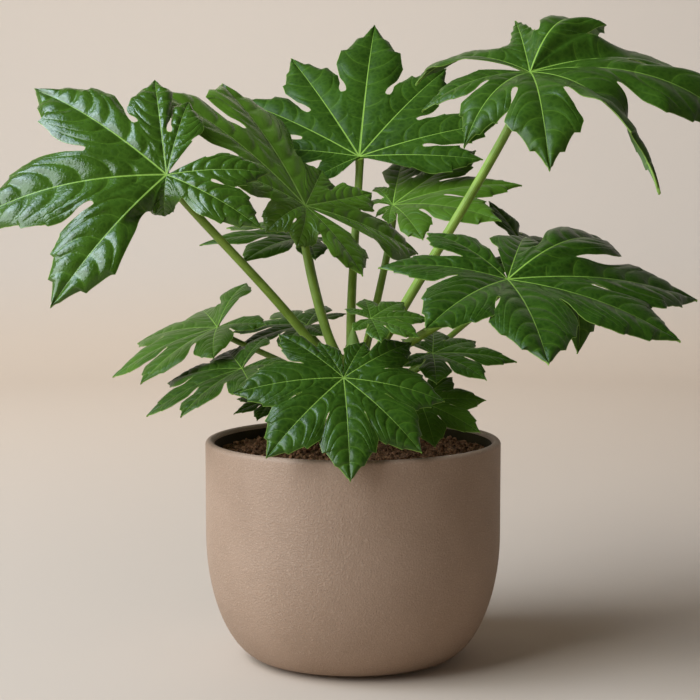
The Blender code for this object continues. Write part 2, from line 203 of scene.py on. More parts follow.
# %% [markdown]
# ## The leaves' own table
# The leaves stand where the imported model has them, so their table repeats the source's: the
# hub, the reach of the middle lobe, the way the blade faces, its droop and the lobes that
# differ. Angles are in degrees, places and lengths in metres, the rest shares of a lobe's
# length. The other values are the fine blade's own, and a leaf names only those in which it
# differs from most: tone is 0 on an old, deep green leaf and 1 on a young light one, quilt is
# how strongly the blade puffs up between its veins, and gloss is how waxy it is; sinus is how
# far out two lobes stay joined, slot is how wide the round end of the cut between them is,
# lap is how far a lobe's edge passes over the next one's, and taper is how a lobe narrows.

# %% The leaves
NINE_LOBES = {"angle": (0, 40, 78, 114, 148), "length": (1.0, 0.97, 0.88, 0.72, 0.48),
              "teeth": 5, "columns": 15}
SEVEN_LOBES = {"angle": (0, 44, 88, 132), "length": (1.0, 0.95, 0.80, 0.55),
               "teeth": 4, "columns": 10}
LIFT = 8.0
LEAVES = {
    "left_high": dict(
        tone=0.34, quilt=1.25, gloss=1.35, slot=1.1,
        hub=(-0.157, -0.050, 0.424), reach=0.175, heading=188, pitch=-6, roll=-48,
        droop=25, width=0.21, base=(198, 0.240), stalk=0.0042, first=-3,
        lobes={-3: dict(turn=6, length=0.54), -2: dict(turn=-13, length=0.70),
               -1: dict(turn=-11, length=0.95), 0: dict(sweep=11, droop=32),
               1: dict(turn=8, length=0.92), 2: dict(length=0.24, droop=110),
               3: dict(turn=24, length=0.56), 4: dict(turn=29, length=0.50)}),
    "left_back": dict(
        # Its tone above 1, lighter than a young leaf, is painted reflection: the blade faces away
        # from the window light and mirrors the wall at a grazing angle.
        tone=1.10, quilt=0.80, sinus=0.54,
        hub=(-0.042, 0.020, 0.397), reach=0.155, heading=172, pitch=36, roll=-20,
        droop=18, width=0.27, base=(200, 0.262), stalk=0.0042,
        lobes={-4: dict(length=0.78), -3: dict(length=0.55, droop=-6),
               -2: dict(length=0.46, droop=5),
               -1: dict(turn=5, length=1.13, droop=14, width=0.30),
               0: dict(turn=-6, length=1.14, width=0.34), 1: dict(turn=-12, length=0.60),
               2: dict(length=0.36, droop=70), 3: dict(length=0.34, droop=60),
               4: dict(turn=6, length=0.58)}),
    "top": dict(
        tone=0.12, quilt=0.30, gloss=0.30, sinus=0.48,
        hub=(0.006, 0.120, 0.442), reach=0.188, heading=83, pitch=44, roll=0,
        droop=12, width=0.175, open=0.75, base=(95, 0.262), stalk=0.0042, first=-3, rise=45,
        lobes={-3: dict(turn=-8, length=0.62), -2: dict(turn=-13, length=0.72),
               -1: dict(turn=-2, length=0.76), 1: dict(length=0.85),
               2: dict(length=0.80), 3: dict(length=0.50), 4: dict(turn=18, length=0.30)}),
    "right_middle": dict(
        tone=0.85, quilt=0.40, gloss=0.30,
        hub=(0.037, 0.095, 0.397), reach=0.122, heading=0, pitch=12, roll=20,
        droop=24, width=0.21, base=(72, 0.240), stalk=0.0038, rise=48,
        lobes={-4: dict(turn=10, length=0.20), -3: dict(turn=12, length=0.32),
               -2: dict(length=0.72), 1: dict(droop=6), 2: dict(droop=6),
               3: dict(turn=-8, length=0.38, lift=20),
               4: dict(turn=-24, length=0.28)}),
    "right_high": dict(
        tone=0.16, quilt=0.50, gloss=0.50, taper=(0.12, 1.4, 0.55),
        hub=(0.149, -0.040, 0.510), reach=0.200, heading=-12, pitch=0, roll=18,
        droop=40, width=0.24, base=(-5, 0.254), stalk=0.0045,
        lobes={0: dict(droop=60, twist=16, width=0.27), 1: dict(turn=-10, droop=54),
               2: dict(turn=-8, length=0.74, lift=45, droop=95),
               3: dict(turn=-10, length=0.46, lift=26, droop=10, width=0.12, twist=-30),
               4: dict(turn=6, length=0.65, lift=18, droop=60),
               -1: dict(turn=-4, length=0.93, droop=75, twist=-60, width=0.18),
               -2: dict(length=0.75, droop=60, width=0.28), -3: dict(length=0.60, droop=60),
               -4: dict(length=0.52)}),
    "right_front": dict(
        tone=0.02, quilt=0.80, gloss=0.60, lap=0.015, slot=0.5,
        hub=(0.127, -0.090, 0.338), reach=0.135, heading=-70, pitch=-22, roll=0,
        droop=25, width=0.26, base=(-40, 0.236), stalk=0.0042, first=-3,
        lobes={0: dict(turn=-9), 1: dict(turn=8, length=1.12), 2: dict(turn=4, length=1.28),
               3: dict(turn=4, length=1.12, lift=24, droop=45), 4: dict(length=0.75, lift=14),
               -1: dict(turn=-15, length=0.90), -2: dict(turn=-36, length=0.80),
               -3: dict(turn=-40, length=0.70, lift=18)}),
    "front": dict(
        tone=0.08, quilt=0.70, gloss=0.85, lap=0.018, slot=0.0,
        hub=(-0.008, -0.085, 0.256), reach=0.108, heading=-85, pitch=-44, roll=-3,
        droop=25, width=0.24, base=(-95, 0.225), stalk=0.0040,
        lobes={0: dict(length=0.95), 1: dict(length=0.88), 2: dict(length=0.81),
               3: dict(turn=12, length=0.72), 4: dict(turn=6, length=0.45),
               -2: dict(turn=-3), -3: dict(turn=-20, length=0.68),
               -4: dict(turn=-8, length=0.42)}),
    "under_back": dict(
        tone=0.35, quilt=0.60, gloss=0.30,
        hub=(-0.042, 0.080, 0.367), reach=0.100, heading=190, pitch=0, roll=-12,
        droop=24, width=0.22, base=(140, 0.248), stalk=0.0038, pattern=SEVEN_LOBES,
        lobes={2: dict(length=0.65)}),
    "left_upper": dict(
        tone=0.52, quilt=0.50, gloss=0.45, sinus=0.50,
        hub=(-0.123, 0.050, 0.287), reach=0.105, heading=190, pitch=-22, roll=-10,
        droop=22, width=0.25, base=(160, 0.218), stalk=0.0030, pattern=SEVEN_LOBES,
        lobes={1: dict(turn=-12), 2: dict(turn=-12, length=0.70), -3: dict(length=0.65, lift=28)}),
    "left_lower": dict(
        tone=0.16, quilt=0.60, gloss=0.50, sinus=0.50,
        hub=(-0.096, -0.030, 0.258), reach=0.092, heading=190, pitch=-23, roll=-10,
        droop=22, width=0.25, base=(200, 0.208), stalk=0.0030, pattern=SEVEN_LOBES,
        lobes={1: dict(turn=-12, length=0.85), -3: dict(lift=20)}),
    "left_behind": dict(
        tone=0.20, quilt=0.50, gloss=0.30,
        hub=(-0.043, 0.100, 0.285), reach=0.078, heading=160, pitch=-5, roll=-15,
        droop=20, width=0.22, base=(105, 0.228), stalk=0.0028, pattern=SEVEN_LOBES, lobes={}),
    "centre_small": dict(
        tone=0.45, quilt=0.60, gloss=0.60,
        hub=(0.015, -0.055, 0.303), reach=0.052, heading=10, pitch=0, roll=22,
        droop=20, width=0.24, base=(-60, 0.262), stalk=0.0022, pattern=SEVEN_LOBES, lobes={}),
    "right_small": dict(
        tone=0.25, quilt=0.60, gloss=0.30,
        hub=(0.070, 0.000, 0.268), reach=0.075, heading=0, pitch=-4, roll=18,
        droop=20, width=0.24, base=(0, 0.222), stalk=0.0028, pattern=SEVEN_LOBES,
        lobes={1: dict(length=0.75), -1: dict(length=0.85)}),
    "right_low": dict(
        tone=0.60, quilt=0.50, gloss=0.30, lap=0.02, slot=0.3,
        hub=(0.058, -0.030, 0.229), reach=0.062, heading=-30, pitch=-20, roll=25,
        droop=20, width=0.24, base=(-25, 0.203), stalk=0.0025, pattern=SEVEN_LOBES, lobes={}),
    "left_low": dict(
        tone=0.35, quilt=0.60, gloss=0.30,
        hub=(-0.070, 0.020, 0.225), reach=0.040, heading=200, pitch=-15, roll=-15,
        droop=20, width=0.24, base=(165, 0.192), stalk=0.0020, pattern=SEVEN_LOBES, lobes={}),
    "right_back": dict(
        tone=0.25, quilt=0.70, gloss=0.30,
        hub=(0.165, 0.110, 0.345), reach=0.120, heading=0, pitch=-12, roll=10,
        droop=45, width=0.22, base=(40, 0.205), stalk=0.0030, rise=45, pattern=SEVEN_LOBES,
        lobes={-1: dict(turn=-10, length=1.05, droop=95), 2: dict(lift=25),
               3: dict(length=0.65, lift=42, droop=5)}),
}


def leaf_axes(leaf):
    """Unit vectors of a blade: along its middle lobe, to that lobe's left, and up off it."""
    heading, pitch, roll = np.radians([leaf["heading"], leaf["pitch"], leaf["roll"]])
    along = np.array([np.cos(pitch) * np.cos(heading), np.cos(pitch) * np.sin(heading),
                      np.sin(pitch)])
    level = np.array([-np.sin(heading), np.cos(heading), 0.0])
    above = np.cross(along, level)
    left = level * np.cos(roll) + above * np.sin(roll)
    return along, left, above * np.cos(roll) - level * np.sin(roll)


def leaf_lobes(leaf):
    """The lobes of a leaf from its right side round to its left, each with its own bend."""
    pattern = leaf.get("pattern", NINE_LOBES)
    last = len(pattern["angle"]) - 1
    lobes = []
    for index in range(leaf.get("first", -last), last + 1):
        own = leaf["lobes"].get(index, {})
        angle = np.sign(index) * pattern["angle"][abs(index)] * leaf.get("open", 1.0)
        lobes.append({"angle": angle + own.get("turn", 0.0),
                      "length": leaf["reach"] * own.get("length", pattern["length"][abs(index)]),
                      "droop": own.get("droop", leaf["droop"]), "lift": own.get("lift", LIFT),
                      "sweep": own.get("sweep", 0.0), "twist": own.get("twist", 0.0),
                      "width": own.get("width", leaf["width"])})
    return lobes


print("leaves", len(LEAVES), "lobes", sum(len(leaf_lobes(leaf)) for leaf in LEAVES.values()))

# %% [markdown]
# ## How a lobe bends
# A real lobe rises a little from the hub and then droops under its own weight, faster near
# its tip. A flat lobe drawn on paper is carried along such a curved midrib: the slope along
# it is a formula, its sum gives the curve, and every point keeps its distance to the rib.

# %% Carry a flat lobe along its midrib
BEND_STEPS = 241
BEND_END = 1.2
LIFT_LOST = 0.5
DROOP_POWER = 1.4
SWEEP_POWER = 1.5
TWIST_START = 0.2
TWIST_SPAN = 0.6


def bend(leaf, lobe, a, b, height):
    """Points that lie a along the midrib, b to its left and height above it, in space.

    At a share s of the lobe's length the midrib's slope is lift (1 - LIFT_LOST s), less
    droop times a power of s; it has turned sideways by sweep times another power of s, and
    the lobe has rolled round it by twist, eased over TWIST_SPAN. The midrib is the sum of
    the steps in that direction, worked out a little past the lobe's tip.
    """
    along, left, up = leaf_axes(leaf)
    s = np.linspace(0.0, BEND_END, BEND_STEPS)
    slope = lobe["lift"] * (1.0 - LIFT_LOST * s) - lobe["droop"] * s ** DROOP_POWER
    pitch = np.radians(slope)[:, None]
    yaw = np.radians(lobe["angle"] + lobe["sweep"] * s ** SWEEP_POWER)[:, None]
    roll = np.radians(lobe["twist"] * smooth((s - TWIST_START) / TWIST_SPAN))[:, None]
    out = np.cos(yaw) * along + np.sin(yaw) * left
    across = np.cos(yaw) * left - np.sin(yaw) * along
    tangent = np.cos(pitch) * out + np.sin(pitch) * up
    normal = np.cos(pitch) * up - np.sin(pitch) * out
    across, normal = (np.cos(roll) * across + np.sin(roll) * normal,
                      np.cos(roll) * normal - np.sin(roll) * across)
    steps = (tangent[1:] + tangent[:-1]) / 2 * (s[1] - s[0]) * lobe["length"]
    midrib = np.concatenate([np.zeros((1, 3)), np.cumsum(steps, axis=0)])
    where = np.clip(a / lobe["length"], 0.0, BEND_END)

    def read(values):
        return np.stack([np.interp(where, s, values[:, axis]) for axis in range(3)], axis=-1)

    behind = np.minimum(a, 0.0)[..., None] * tangent[0]
    place = read(midrib) + behind + b[..., None] * read(across) + height[..., None] * read(normal)
    return np.array(leaf["hub"]) + place


print("midrib samples", BEND_STEPS)

# %% [markdown]
# ## The outline of a lobe
# Between two lobes the blade is whole out to the sinus. Beyond it each lobe has a free edge
# that swells, then narrows to a drawn-out tip, with teeth that point forward. At the bottom
# of a sinus the edges first part in a round-ended slot, and on broad lobes they then lie
# over each other. Rows of the grid follow the teeth, so that each tooth keeps its point.

# %% Half a lobe, flat
SINUS = 0.42
FREE_ANGLE = 22.0
TOOTH_DEPTH = 0.014
TOOTH_PEAK = 0.84
TOOTH_ROWS = (0.0, 0.16, 0.34, 0.52, 0.68, TOOTH_PEAK, 0.93)
TOOTH_PUSH = 1.1
TOOTH_SIZES = (0.6, 1.4)
SMALL_TOOTH = 0.35
TOOTHED_END = 0.95
SLOT_ROWS = (0.006, 0.016)
TIP_ROWS = (0.965, 0.985, 1.0)
SLOT_LENGTH = 0.22
SLOT_WIDTH = 0.042
RIB_STOP = 0.72
SWELL_END = 0.30
TAPER = (0.30, 1.9, 0.50)
PULL_MADE_UP = 0.13
EDGE_CLEAR = 0.004
CLEAR_EASE = 0.02
LAP_START = 0.12
LAP_EASE = 0.2
INNER_SHARE = 0.62


def free_rows(teeth):
    """Where rows lie along the free edge, from the sinus at 0 to the tip at 1."""
    rows = ((np.arange(teeth)[:, None] + np.array(TOOTH_ROWS)) / teeth).ravel()
    return np.sort(np.concatenate([rows[rows < TOOTHED_END], SLOT_ROWS, TIP_ROWS]))


def tooth_heights(outer, teeth, draw):
    """Height of the saw-toothed edge: each tooth swells forward to its point, then drops."""
    number = np.minimum((outer * teeth).astype(int), teeth - 1)
    phase = outer * teeth - number
    rise = np.clip(phase / TOOTH_PEAK, 0.0, 1.0) ** 2
    drop = np.clip((1.0 - phase) / (1.0 - TOOTH_PEAK), 0.0, 1.0)
    sizes = draw.uniform(*TOOTH_SIZES, teeth)
    sizes[0] = 0.0
    sizes[[1, -1]] *= SMALL_TOOTH
    return TOOTH_DEPTH * sizes[number] * np.minimum(rise, drop) * (outer < TOOTHED_END)


def half_outline(leaf, lobe, beside, outer, draw):
    """Ends of each row of half a lobe: the place on the midrib and on the rim.

    The free edge is its swell from the sinus to the widest place, times a taper that starts
    at taper's first value, falls with its second as a power and has its third to draw the
    tip out, plus the teeth. It never passes the line half way to the next lobe by more than
    the lap, and keeps the slot's width and a small clearance off it.
    """
    length = lobe["length"]
    teeth = leaf.get("pattern", NINE_LOBES)["teeth"]
    if beside:
        half_angle = np.radians(abs(beside["angle"] - lobe["angle"]) / 2)
        depth = leaf.get("sinus", SINUS) * (length + beside["length"]) / 2
    else:
        half_angle = np.radians(FREE_ANGLE)
        depth = leaf.get("sinus", SINUS) * length
    sinus_a, sinus_b = depth * np.cos(half_angle), depth * np.sin(half_angle)
    tooth = length * tooth_heights(outer, teeth, draw)
    taper_start, taper_power, tip_pull = leaf.get("taper", TAPER)
    past = np.clip((outer - taper_start) / (1.0 - taper_start), 0.0, 1.0)
    taper = (1.0 - past ** taper_power) * (1.0 - tip_pull * outer ** 3)
    widest = lobe["width"] * length * (1.0 + tip_pull * PULL_MADE_UP)
    swell = sinus_b + (widest - sinus_b) * smooth(outer / SWELL_END)
    edge_a = sinus_a + (length - sinus_a) * outer + TOOTH_PUSH * tooth
    edge_b = swell * taper + tooth
    along = np.clip(outer / SLOT_LENGTH, 0.0, 1.0)
    slot = SLOT_WIDTH * leaf.get("slot", 1.0) * length * np.sqrt(along) * (1.0 - along)
    lap = leaf.get("lap", 0.0) * length * smooth((outer - LAP_START) / LAP_EASE)
    clear = EDGE_CLEAR * length * np.minimum(1.0, outer / CLEAR_EASE)
    edge_b = np.clip(edge_b, 0.0, edge_a * np.tan(half_angle) + lap - slot - clear)
    edge_a[-1] = length
    edge_b[-1] = 0.0
    inner = np.linspace(0.0, 1.0, round(len(outer) * INNER_SHARE))
    rib_stop = RIB_STOP * leaf.get("sinus", SINUS) * length
    rib_a = np.concatenate([inner * rib_stop, rib_stop + (length - rib_stop) * outer])
    rim_a = np.concatenate([inner * sinus_a, edge_a])
    rim_b = np.concatenate([inner * sinus_b, edge_b])
    return rib_a, rim_a, rim_b, len(inner), depth


print("rows in half a large lobe", round(len(free_rows(5)) * (1.0 + INNER_SHARE)))

# %% [markdown]
# ## Relief of a blade
# Seen close, a fatsia's blade is quilted: side veins leave the midrib at a steep angle and
# curve forward, each lies in a furrow, and the leaf arches up between them. Each half of a
# lobe is also arched from the rib to the rim, the rim turns down and waves a little, and the
# ribs stand out below. All of it is height above the flat lobe, so it is one formula.

# %% Height of the blade's surface
FOLD = 0.16
FOLD_LOST = 0.75
ARCH = 0.010
QUILT = 0.085
QUILT_POWER = 0.8
QUILT_REST = 0.45
QUILT_LOST = 0.6
RIB_FLAT = 0.035
NARROW = 0.10
SIDE_VEINS = 7.5
VEIN_SLOPE = 0.10
VEIN_CURVE = 40.0
VEIN_WARPS = ((0.012, 11.0), (0.007, 23.0))
WAVE = 0.0080
WAVES = (1.6, 2.6)
SEAM_FLAT = 0.55
LAP_LIFT = 0.007
RIM_TURN = 0.020
COLUMN_POWER = 1.35
FREE_EASE = 0.3
SEAM_EASE = 0.06
MIX_EASE = 0.35
CENTIMETRES = 100.0


def side_vein_phase(u, v, draw):
    """Number of side veins passed: whole on a vein, which leaves the rib and curves forward.

    A vein's place along the rib is u - slope |v| - curve |v|^3, warped by two sine waves, so
    that the spaces between veins differ.
    """
    place = u - VEIN_SLOPE * np.abs(v) - VEIN_CURVE * np.abs(v) ** 3
    warped = place
    for size, pace in VEIN_WARPS:
        warped = warped + size * np.sin(pace * place + draw.uniform(0.0, 2.0 * np.pi))
    return SIDE_VEINS * warped + draw.uniform(0.0, 1.0)


def blade_height(leaf, lobe, side, a, b, t, free, seam, phase, draw):
    """Height of the surface over the flat lobe, t being 0 at the rib and 1 at the rim.

    It is the sum of a fold up from the rib, an arch, a rim that turns down with t^4, a
    pillow for each space between side veins, a wave along the rim, and a little more on the
    side that lies over the next lobe. All but the fold and the arch fade where the lobe is narrow.
    """
    length = lobe["length"]
    rim_b = np.abs(b[:, -1:])
    narrow = smooth(rim_b / (NARROW * length))
    fold = FOLD * rim_b * t * (2.0 - t) * (1.0 - FOLD_LOST * free)
    arch = ARCH * length * 4.0 * t * (1.0 - t) * free
    rim_turn = RIM_TURN * length * t ** 4 * free * narrow
    pillow = np.abs(np.sin(np.pi * phase)) ** QUILT_POWER - QUILT_REST
    near_rib = smooth(np.abs(b) / (RIB_FLAT * length))
    near_seam = 1.0 - smooth((t - SEAM_FLAT) / (1.0 - SEAM_FLAT)) * seam
    quilt = QUILT * leaf["quilt"] / SIDE_VEINS * length * pillow * near_rib * near_seam * narrow
    quilt = quilt * (1.0 - QUILT_LOST * t ** 3)
    turns = draw.uniform(*WAVES)
    start = draw.uniform(0.0, 2.0 * np.pi)
    wave = WAVE * length * np.sin(2.0 * np.pi * turns * a / length + start) * t ** 2 * free
    lapped = side * LAP_LIFT * length * t ** 2 * free
    return fold + arch - rim_turn + quilt + (wave + lapped) * narrow


def half_lobe(leaf, lobes, index, side, outer, draw):
    """Points and pattern coordinates of one half of a lobe, rib to rim, hub to tip.

    Up to the sinus the rim is the line half way to the next lobe, where both lobes' bends
    have equal shares. The neighbour's share falls to nothing at the rib and along the free
    edge, so the blade is one smooth surface.
    """
    lobe = lobes[index]
    length = lobe["length"]
    beside = lobes[index + side] if 0 <= index + side < len(lobes) else None
    rib_a, rim_a, rim_b, inner_rows, depth = half_outline(leaf, lobe, beside, outer, draw)
    columns = leaf.get("pattern", NINE_LOBES)["columns"]
    t = (np.linspace(0.0, 1.0, columns) ** COLUMN_POWER)[None, :]
    a = rib_a[:, None] * (1.0 - t) + rim_a[:, None] * t
    b = rim_b[:, None] * t
    free = np.concatenate([np.zeros(inner_rows), smooth(outer / FREE_EASE)])[:, None]
    seam = np.concatenate([np.ones(inner_rows), 1.0 - smooth(outer / SEAM_EASE)])[:, None]
    phase = side_vein_phase(a / length, b / length, draw)
    height = blade_height(leaf, lobe, side, a, b, t, free, seam, phase, draw)
    place = bend(leaf, lobe, a, side * b, height)
    if beside:
        turn = np.radians(beside["angle"] - lobe["angle"])
        other_a = a * np.cos(turn) + side * b * np.sin(turn)
        other_b = side * b * np.cos(turn) - a * np.sin(turn)
        other = bend(leaf, beside, other_a, other_b, height)
        share = 0.5 * np.concatenate([np.ones(inner_rows), 1.0 - smooth(outer / MIX_EASE)])
        mix = (share[:, None] * smooth(t))[..., None]
        place = place * (1.0 - mix) + other * mix
    inner = np.linspace(0.0, 1.0, inner_rows)
    from_sinus = np.concatenate([(1.0 - inner) * depth, np.zeros(len(outer))])[:, None]
    to_rim = (1.0 - t) * np.abs(rim_b)[:, None] + t * from_sinus
    lobe_map = np.stack([a / length, side * b / length], axis=-1)
    rim_map = np.stack([to_rim * CENTIMETRES, np.broadcast_to(t, a.shape) * seam], axis=-1)
    vein_map = np.stack([phase, np.broadcast_to(t, a.shape)], axis=-1)
    return place, {"lobe": lobe_map, "rim": rim_map, "vein": vein_map}


print("side veins on each half of a lobe", SIDE_VEINS)

# %% [markdown]
# ## The thickness of a blade
# A blade is a closed skin: the upper face, the lower face a little below it, and a narrow
# rim. Below the ribs the lower face is pushed further down, since a fatsia's ribs stand out
# there like cords. The lower face is the upper one moved along its normals.

# %% Close a sheet
BLADE_THICKNESS = 0.0006
RIB_DEPTH = 0.010
RIB_SPREAD = 0.010
SPREAD_LOST = 0.6
DEPTH_LOST = 0.85


def close_sheet(name, sheet, hang):
    """Turn an open mesh into a closed one; hang is how far below each point the back lies.

    Every face is repeated below with its corners in the opposite order. An edge that only
    one face uses is part of the rim, and gets a square that joins it to its copy below.
    """
    count = len(sheet.vertices)
    points = np.empty(count * 3)
    sheet.vertices.foreach_get("co", points)
    points = points.reshape(-1, 3)
    normals = np.empty(count * 3)
    sheet.vertex_normals.foreach_get("vector", normals)
    normals = normals.reshape(-1, 3)
    starts = np.empty(len(sheet.polygons), np.int32)
    sheet.polygons.foreach_get("loop_start", starts)
    totals = np.empty(len(sheet.polygons), np.int32)
    sheet.polygons.foreach_get("loop_total", totals)
    corners = np.empty(len(sheet.loops), np.int32)
    sheet.loops.foreach_get("vertex_index", corners)
    last = starts + totals - 1
    following = np.arange(len(corners)) + 1
    following[last] = starts
    pairs = np.stack([corners, corners[following]], axis=1)
    keys = np.sort(pairs, axis=1) @ np.array([count, 1])
    unique, first, uses = np.unique(keys, return_index=True, return_counts=True)
    rim = first[uses == 1]
    one, two = pairs[rim, 0], pairs[rim, 1]
    rim_quads = np.stack([two, one, one + count, two + count], axis=1)
    back_order = np.repeat(starts + totals, totals) - 1 - (np.arange(len(corners))
                                                         - np.repeat(starts, totals))
    all_corners = np.concatenate([corners, corners[back_order] + count, rim_quads.ravel()])
    all_totals = np.concatenate([totals, totals, np.full(len(rim), 4)])
    mesh = bpy.data.meshes.new(name)
    mesh.vertices.add(2 * count)
    below = points - normals * hang[:, None]
    mesh.vertices.foreach_set("co", np.concatenate([points, below]).ravel())
    mesh.loops.add(len(all_corners))
    mesh.loops.foreach_set("vertex_index", all_corners.astype(np.int32))
    mesh.polygons.add(len(all_totals))
    begins = np.concatenate([[0], np.cumsum(all_totals)[:-1]])
    mesh.polygons.foreach_set("loop_start", begins.astype(np.int32))
    slots = np.repeat([0, 1, 2], [len(totals), len(totals), len(rim)])
    mesh.polygons.foreach_set("material_index", slots.astype(np.int32))
    for layer in sheet.uv_layers:
        values = np.empty(len(corners) * 2, np.float32)
        layer.data.foreach_get("uv", values)
        values = values.reshape(-1, 2)
        rim_values = np.stack([values[following[rim]], values[rim], values[rim],
                               values[following[rim]]], axis=1).reshape(-1, 2)
        new = mesh.uv_layers.new(name=layer.name)
        new.data.foreach_set("uv", np.concatenate([values, values[back_order], rim_values]).ravel())
    mesh.update(calc_edges=True)
    mesh.validate()
    return mesh


def hang_below(sheet, leaf):
    """How far below each point the back of a blade lies: more under a rib, less at its tip."""
    values = np.empty(len(sheet.loops) * 2, np.float32)
    sheet.uv_layers["lobe"].data.foreach_get("uv", values)
    u, v = values.reshape(-1, 2).T
    corners = np.empty(len(sheet.loops), np.int32)
    sheet.loops.foreach_get("vertex_index", corners)
    spread = RIB_SPREAD * (1.0 - SPREAD_LOST * u)
    ridge = RIB_DEPTH * (1.0 - DEPTH_LOST * u) * np.exp(-(v / spread) ** 2)
    deepest = np.zeros(len(sheet.vertices))
    np.maximum.at(deepest, corners, ridge)
    return BLADE_THICKNESS + leaf["reach"] * deepest


print("blade thickness in mm", BLADE_THICKNESS * 1000)

# %% [markdown]
# ## The finish of a blade
# The upper face is a deep, glossy green with a waxy skin. Its ribs are bright yellow-green
# and its side veins finer and paler, all read from the pattern coordinates: u runs along a
# lobe and v across it. A net of tiny veins comes from a Voronoi texture on the object's own
# coordinates, in two sizes. The relief in the bump is only the last fine step: the pillows
# between the side veins are in the mesh. Gloss makes the skin both smoother and more
# mirror-like, since wax does both. The lower face is paler and matt, and the rim and a thin
# band along it are light: a paler margin, partly a painted highlight.

# %% Leaf materials
RIB_GREEN = (0.26, 0.43, 0.065)
VEIN_GREEN = (0.095, 0.195, 0.018)
EDGE_GREEN_AND_HIGHLIGHT = (0.20, 0.32, 0.05)
DEEP_GREEN = (0.0158, 0.0450, 0.0036)
YOUNG_GREEN = (0.058, 0.122, 0.0095)
UNDER_GREEN = (0.095, 0.175, 0.040)
RIB_HALF_WIDTH = 0.0050
BRIGHTER = 1.45
COARSE_NET = 170.0
FINE_NET = 420.0
SKIN_ROUGHNESS = 0.37
WAX_SMOOTHS = 0.16
WAX_SHINE = 0.31
SKIN_RELIEF = 0.0008


def map_wires(where, title):
    """The two wires of a pattern map."""
    pattern = where.add("ShaderNodeUVMap", {"uv_map": title})
    return [pattern.add("ShaderNodeSeparateXYZ", {}, {0: pattern}, axis) for axis in ("X", "Y")]


def side_vein_wire(phase):
    """Distance to the nearest side vein, as a share of the space between two veins."""
    return abs(phase - phase.math("ROUND", phase))


def cells(where, scale):
    """Height of small cushions between tiny veins: 0 on a vein and 1 inside a cell."""
    edge = where.add("ShaderNodeTexVoronoi", {"feature": "DISTANCE_TO_EDGE"},
                     {"Vector": where, "Scale": scale}, "Distance")
    return edge.ease(0.0, 0.32)


def blade_top(name, tone, gloss, quilt):
    """Upper face of a leaf: green by tone, with ribs, side veins, a fine net and a light rim band,
    partly painted highlight.
    """
    material, shader, where = new_material(name)
    u, v = map_wires(where, "lobe")
    to_rim, seam = map_wires(where, "rim")
    phase, t = map_wires(where, "vein")
    rib = (abs(v) / (RIB_HALF_WIDTH * (1.12 - u))).ease(1.25, 0.6)
    gap = side_vein_wire(phase)
    inside = seam.ease(1.0, 0.8) * t.ease(1.0, 0.7)
    vein = gap.ease(0.032, 0.010) * inside
    furrow = gap.ease(0.20, 0.0) * inside
    coarse = cells(where, COARSE_NET)
    fine = cells(where, FINE_NET)
    patches = noise(where, 38.0, 3.0)
    young = tuple(d + (y - d) * tone for d, y in zip(DEEP_GREEN, YOUNG_GREEN))
    bright = tuple(BRIGHTER * c for c in young)
    colour = blend_colours(patches.ease(0.3, 0.75), young, bright)
    colour = blend_colours((1.0 - coarse) * 0.16, colour, VEIN_GREEN)
    colour = blend_colours(furrow * 0.10, colour, VEIN_GREEN)
    colour = blend_colours(vein * 0.42, colour, VEIN_GREEN)
    colour = blend_colours(rib, colour, RIB_GREEN)
    # A light band half a millimetre wide along the rim: the leaf's paler margin, partly a painted
    # highlight.
    colour = blend_colours(to_rim.ease(0.05, 0.02) * 0.8, colour, EDGE_GREEN_AND_HIGHLIGHT)
    pores = noise(where, 900.0, 2.0)
    raised = rib * 0.5 - furrow * 0.6 + coarse * 0.17 * quilt + fine * 0.10 * quilt + pores * 0.04
    dull = SKIN_ROUGHNESS - WAX_SMOOTHS * gloss
    feed(shader, Base_Color=colour, Roughness=dull + 0.09 * patches + 0.15 * rib,
         Normal=bump(raised, SKIN_RELIEF, 0.6), Specular_IOR_Level=WAX_SHINE * gloss)
    return material


def blade_underside(name):
    """Lower face of a leaf: pale, matt green with lighter ribs."""
    material, shader, where = new_material(name)
    u, v = map_wires(where, "lobe")
    phase, t = map_wires(where, "vein")
    rib = (abs(v) / (RIB_HALF_WIDTH * (1.4 - u))).ease(1.5, 0.7)
    vein = side_vein_wire(phase).ease(0.08, 0.02) * t.ease(1.0, 0.7)
    patches = noise(where, 60.0, 3.0)
    colour = blend_colours(patches, UNDER_GREEN, tuple(0.75 * c for c in UNDER_GREEN))
    colour = blend_colours(vein * 0.5, colour, RIB_GREEN)
    colour = blend_colours(rib * 0.8, colour, RIB_GREEN)
    feed(shader, Base_Color=colour, Roughness=0.55 + 0.1 * patches,
         Normal=bump(vein * 0.8 + cells(where, 300.0) * 0.3, 0.0005, 0.5))
    return material


def blade_rim(name):
    """The thin edge of a leaf: a light margin green, partly a painted highlight."""
    material, shader, where = new_material(name)
    colour = blend_colours(noise(where, 220.0), EDGE_GREEN_AND_HIGHLIGHT, tuple(0.6 * c for c in EDGE_GREEN_AND_HIGHLIGHT))
    feed(shader, Base_Color=colour, Roughness=0.45)
    return material


UNDERSIDE = blade_underside("leaf_underside")
RIM = blade_rim("leaf_rim")
print("leaf finishes ready")

# %% [markdown]
# ## The blades
# With the outline, the relief and the bend as formulas, a blade is a loop over its lobes and
# their two halves. The halves share their rib, and neighbours share the line up to the
# sinus, so merging the doubled points makes one sheet, which is then closed.

# %% Build the blades
MERGE = 0.000001


